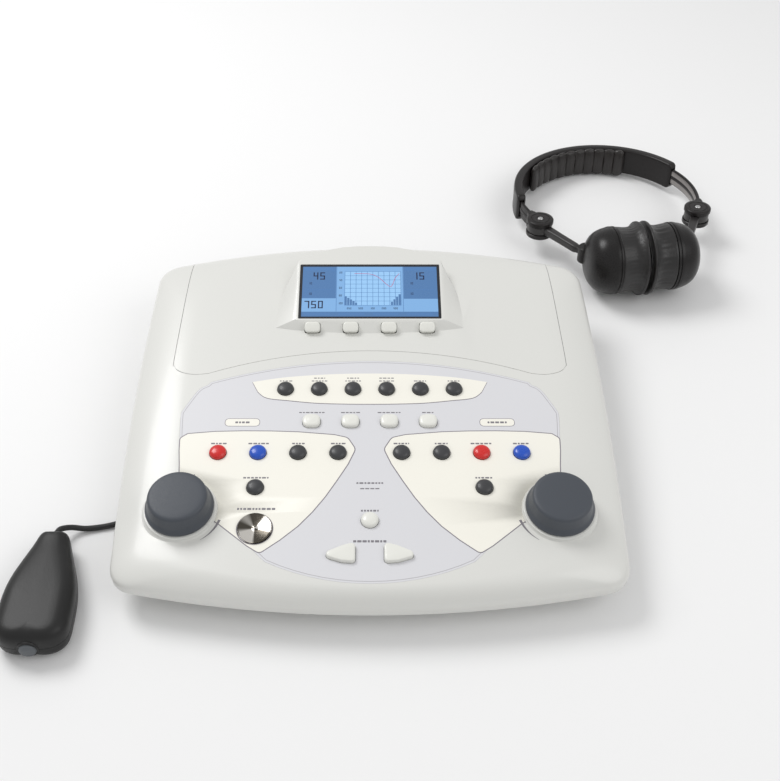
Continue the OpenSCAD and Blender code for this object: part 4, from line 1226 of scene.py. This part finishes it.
def add_crown_pad():
    """Gathered leather sleeve with a soft core, drawn in at its stitches into uneven puffs."""
    rnd = random.Random(3)
    puffs = 11
    sizes = [rnd.uniform(0.7, 1.0) for _ in range(puffs + 1)]
    section = []
    n = 32
    for k in range(n):
        a = 2 * math.pi * k / n
        x, z = math.cos(a), math.sin(a)
        section.append((3.5 * math.copysign(abs(x) ** 0.8, x), 14.6 * math.copysign(abs(z) ** 0.7, z)))
    base = BAND_R - BAND_T - 3.6 - SLIDER_R

    def shape(a, t, k, dr, z):
        s = ends_taper(t, 0.04, 0.3)
        u = t * puffs
        i, f = int(u), u - int(u)
        bulge = math.sin(math.pi * f) ** 0.55 * sizes[i] if i < puffs else 0
        crease = 0.35 * math.sin(17 * u + 1.3 * z) * (1 - bulge)
        inner = -1.9 * bulge + 1.3 + crease if dr < 0 else 0
        side = min(1, abs(z) / 14.6)
        dr2 = dr * s + inner * (1 - 0.5 * side ** 3)
        return base + max(dr2, -4.6), z * (0.72 + 0.28 * s) * (0.90 + 0.12 * bulge)

    pad = arc_sweep("crown_pad", section, PAD_FROM, PAD_TO, 264, shape, smooth=80)
    dress(pad, M["crown_leather"], "headset", "pad_leather", "headband_pad")


def add_sliders_and_arms():
    for s, side in ((-1, "left"), (1, "right")):
        a0, a1 = STRAP_IN[s] * s, (HINGE_A - 6) * s
        strap = arc_sweep(side + "_strap", rounded_section(3.2, 16.2, 1.2, 3), a0, a1, 60)
        rib = arc_sweep(side + "_strap_rib", rounded_section(4.4, 5.0, 1.4, 3), a0, a1, 60)
        face = [(x - 1.75, z) for x, z in rounded_section(0.5, 13.6, 0.2, 2)]
        liner = arc_sweep(side + "_strap_liner", face, a0, a1, 60)
        m = HEADSET @ move(s * HINGE[0], HINGE[1])
        discs = []
        for z0, z1 in ((-9, -4.35), (4.35, 9)):
            out = -1 if z0 < 0 else 1
            top, low = (z1, z0) if out > 0 else (z0, z1)
            prof = [(0, low), (12.4, low), (13, low + 0.5 * out), (13, top - 1.2 * out),
                    (12.5, top - 0.4 * out), (11.6, top), (9.4, top), (9.0, top - 0.5 * out),
                    (8.4, top - 0.5 * out), (8.0, top), (3.6, top), (3.2, top - 0.7 * out),
                    (0, top - 0.7 * out)]
            discs.append(revolve("disc", prof, m, 72, 35))
        lug = loft("lug", [[tuple(arc_point(s * (HINGE_A - back), SLIDER_R + x, z))
                            for x, z in rounded_section(w, d, 2)]
                           for back, w, d in ((11.0, 6, 17.6), (9.2, 8, 17.8), (6.2, 10, 17.8))], HEADSET)
        slot_cut = revolve("cutter", [(0, -4.35), (16, -4.35), (16, 4.35), (0, 4.35)], m, 64)
        cut(lug, [slot_cut])
        metal = join([strap, rib], side + "_slider_strap")
        dress(metal, M["band"], side + "_slider", "slider_metal", side + "_slider")
        dress(liner, M["strap"], side + "_slider", "slider_metal")
        hub = join(discs + [lug], side + "_slider_hinge")
        dress(hub, M["band"], side + "_slider", "slider_metal")
        ax, ay = s * HINGE[0], HINGE[1]
        bx, by = s * TILT[0], TILT[1]
        direction = Vector((bx - ax, by - ay, 0))
        length = direction.length
        ma = HEADSET @ move(ax, ay) @ Matrix.Rotation(math.atan2(direction.y, direction.x), 4, "Z")
        eye = revolve(side + "_arm_eye", [(0, -4), (11.4, -4), (12, -3.4), (12, 3.4), (11.4, 4), (0, 4)],
                      ma, 64, 35)
        rings = []
        for u, w, h in ((6, 4.6, 4), (14, 4.4, 4), (26, 4.0, 4), (38, 3.9, 3.9), (length - 12, 3.9, 3.9),
                        (length - 9.4, 3.6, 3.7), (length - 7.8, 2.8, 3.2), (length - 5.5, 2.3, 3),
                        (length - 3, 2.2, 3)):
            rings.append([(u, p[0], p[1]) for p in rounded_section(2 * w, 2 * h, min(w, h) * 0.55, 4)])
        bar = loft("bar", rings, ma)
        tip = revolve("tip", [(0, -4), (4.2, -4), (4.7, -3.5), (4.7, 3.5), (4.2, 4), (0, 4)],
                      ma @ move(length, 0, 0), 40, 35)
        arm = join([eye, bar, tip], side + "_arm_casting")
        dress(arm, M["arm"], side + "_arm", "slider_metal", side + "_arm")
        pin = revolve(side + "_hinge_pin", [(0, -9.3), (2.3, -9.3), (2.7, -8.9), (2.7, 8.9), (2.3, 9.3),
                                            (0, 9.3)], m, 32, 35)
        dress(pin, M["screw"], side + "_arm", "slider_metal")


def cup_frame(s):
    """Z along the cup's own axis, outward from the middle of the headset."""
    return HEADSET @ turn("Y", 90 * s)


def add_cups():
    w = CUPS_W / 2
    for s, side in ((-1, "left"), (1, "right")):
        m = cup_frame(s)
        prof = [(0, w), (6, w - 0.12), (12, w - 0.6), (16.4, w - 1.5), (20, w - 3), (23, w - 4.9),
                (25.5, w - 7), (27.7, w - 9.8), (29.3, w - 13), (30.5, w - 16.4), (31.3, w - 20),
                (31.8, w - 21.6), (32, PAD_BACK + 5), (32, PAD_BACK + 3.2), (31.3, PAD_BACK + 2.7),
                (31.3, PAD_BACK + 2.2), (32, PAD_BACK + 1.8), (32, PAD_BACK + 0.2),
                (29.4, PAD_BACK + 0.1), (0, PAD_BACK + 0.1)]
        shell_ob = revolve(side + "_cup_shell", prof, m, 128, 32)
        a = math.atan2(TILT[1] - HINGE[1], s * (TILT[0] - HINGE[0]))
        pivot = HEADSET @ move(s * TILT[0], TILT[1])
        boss = revolve("boss", [(0, -8), (6.8, -8), (7.6, -7.2), (7.6, 7.2), (6.8, 8), (0, 8)],
                       HEADSET @ move(s * (TILT[0] - 2), TILT[1] - 2), 56, 35)
        slot_round = [(0, -4.3), (5.1, -4.3), (5.1, 4.3), (0, 4.3)]
        r = pivot @ Matrix.Rotation(a + math.pi, 4, "Z")
        slot_box = [[(x, y, z) for x, y in ((0, -3.9), (16, -3.9), (16, 3.9), (0, 3.9))]
                    for z in (-4.3, 4.3)]
        for piece in (shell_ob, boss):
            cut(piece, [revolve("cutter", slot_round, pivot, 40)])
            cut(piece, [loft("cutter", slot_box, r)])
        shell_ob = join([shell_ob, boss], side + "_cup_shell")
        finish_shading(shell_ob.data, 32)
        dress(shell_ob, M["cup"], side + "_cup", "cup", side + "_cup")
        cloth = revolve(side + "_driver_cloth", [(0, 25.6), (10, 25.4), (18.8, 24.6), (18.8, 25.9),
                                                 (0, 25.9)], m, 64)
        dress(cloth, M["foam"], side + "_cup", "pad_leather")
        add_ear_pad(s, side, m)


def add_ear_pad(s, side, m):
    """Leatherette cushion: a nearly straight drum that flares to a thin wide lip at the ear."""
    outer = [(19.2, 25.9), (31.0, 25.9), (31.5, 25.3), (31.2, 23.8), (30.9, 21.5), (30.5, 19),
             (30.2, 16.5), (30.1, 14), (30.3, 11.6), (30.9, 9.4), (31.9, 7.4), (33.2, 5.6),
             (34.3, 4.6), (34.9, 3.8), (CUP_R, 3.3), (34.7, 2.7), (33.9, 2.25), (31.5, 2.0),
             (28.5, 2.02), (25.5, 2.2), (23, 2.6), (21, 3.4), (19.7, 4.6), (19.1, 6.4), (19, 11),
             (19, 18)]
    outer = [Vector((r, z)) for r, z in outer]
    segs = 144
    rnd = random.Random(11 if s > 0 else 5)
    phases = [(rnd.uniform(0, 6.28), rnd.choice([9, 13, 17, 23, 31, 41]), rnd.uniform(0.03, 0.11))
              for _ in range(7)]
    rings = []
    for i in range(segs):
        t = 2 * math.pi * i / segs
        ring = []
        for k, p in enumerate(outer):
            r, z = p
            slack = 0.0
            if r > 29.5 and 3 < z < 25:
                gather = math.sin(math.pi * (z - 3) / 22)
                slack = sum(amp * math.sin(f * t + ph + z * 0.12) for ph, f, amp in phases) * gather
                slack += -0.22 * gather * (0.5 + 0.5 * math.cos(46 * t + ph0(s)))
            rr = min(r + slack, CUP_R if z < 8 else r + 0.1)
            ring.append((rr * math.cos(t), rr * math.sin(t), z))
        rings.append(ring)
    pad = loft(side + "_ear_cushion", rings, m, loop=True, smooth=70)
    dress(pad, M["leather"], side + "_cup", "pad_leather", side + "_ear_pad")
    seam_pts = [(34.45 * math.cos(2 * math.pi * k / 96), 34.45 * math.sin(2 * math.pi * k / 96), 4.4)
                for k in range(97)]
    welt = tube(side + "_ear_cushion_seam", [tuple(m @ Vector(p)) for p in seam_pts], 0.42, 8)
    dress(welt, M["leather"], side + "_cup", "pad_leather")


def ph0(s):
    return 0.4 if s > 0 else 1.1


add_headband()
add_crown_pad()
add_sliders_and_arms()
add_cups()

# ---------- pieces that keep their CAD shape ----------

KEPT = {
    "base_tray": M["tray"], "rear_panel": M["socket"], "rear_sockets": M["socket"],
    "rubber_feet": M["rubber"], "case_screws": M["screw"], "main_board": M["board"],
    "lcd_module": M["board"], "tact_switches": M["socket"], "encoders": M["screw"],
    "response_plug": M["rubber"],
}
for node, mat in KEPT.items():
    me = frame["nodes"][node].data
    me.materials.clear()
    me.materials.append(mat)

# ---------- floor and light ----------


def add_floor():
    mat = bpy.data.materials.new("paper")
    mat.use_nodes = True
    bsdf = mat.node_tree.nodes["Principled BSDF"]
    bsdf.inputs["Base Color"].default_value = (0.87, 0.87, 0.87, 1)
    bsdf.inputs["Roughness"].default_value = 0.9
    floor = make("floor", [(-3000, -3000, -0.05), (3000, -3000, -0.05), (3000, 3000, -0.05),
                           (-3000, 3000, -0.05)], [(0, 1, 2, 3)])
    floor.data.materials.append(mat)


def area_light(name, place, target, size, power):
    data = bpy.data.lights.new(name, "AREA")
    data.shape = "DISK"
    data.size = size
    data.energy = power
    ob = bpy.data.objects.new(name, data)
    ob.location = place
    ob.rotation_euler = (Vector(target) - Vector(place)).to_track_quat("-Z", "Y").to_euler()
    bpy.context.collection.objects.link(ob)


def add_world():
    """Plain white behind everything, and an even soft light on the object."""
    world = bpy.data.worlds.new("studio")
    bpy.context.scene.world = world
    world.use_nodes = True
    nt = world.node_tree
    back = nt.nodes["Background"]
    back.inputs["Color"].default_value = (1, 1, 1, 1)
    back.inputs["Strength"].default_value = 0.62
    seen = nt.nodes.new("ShaderNodeBackground")
    seen.inputs["Color"].default_value = (1, 1, 1, 1)
    seen.inputs["Strength"].default_value = 1.0
    path = nt.nodes.new("ShaderNodeLightPath")
    mix = nt.nodes.new("ShaderNodeMixShader")
    nt.links.new(path.outputs["Is Camera Ray"], mix.inputs["Fac"])
    nt.links.new(back.outputs["Background"], mix.inputs[1])
    nt.links.new(seen.outputs["Background"], mix.inputs[2])
    nt.links.new(mix.outputs["Shader"], nt.nodes["World Output"].inputs["Surface"])


add_floor()
add_world()
area_light("key", (-0.9, 0.7, 1.5), (0, 0.05, 0), 0.9, 16)
area_light("fill", (1.1, -0.5, 1.2), (0, 0.05, 0), 1.2, 5)
bpy.context.scene.view_settings.view_transform = "Standard"
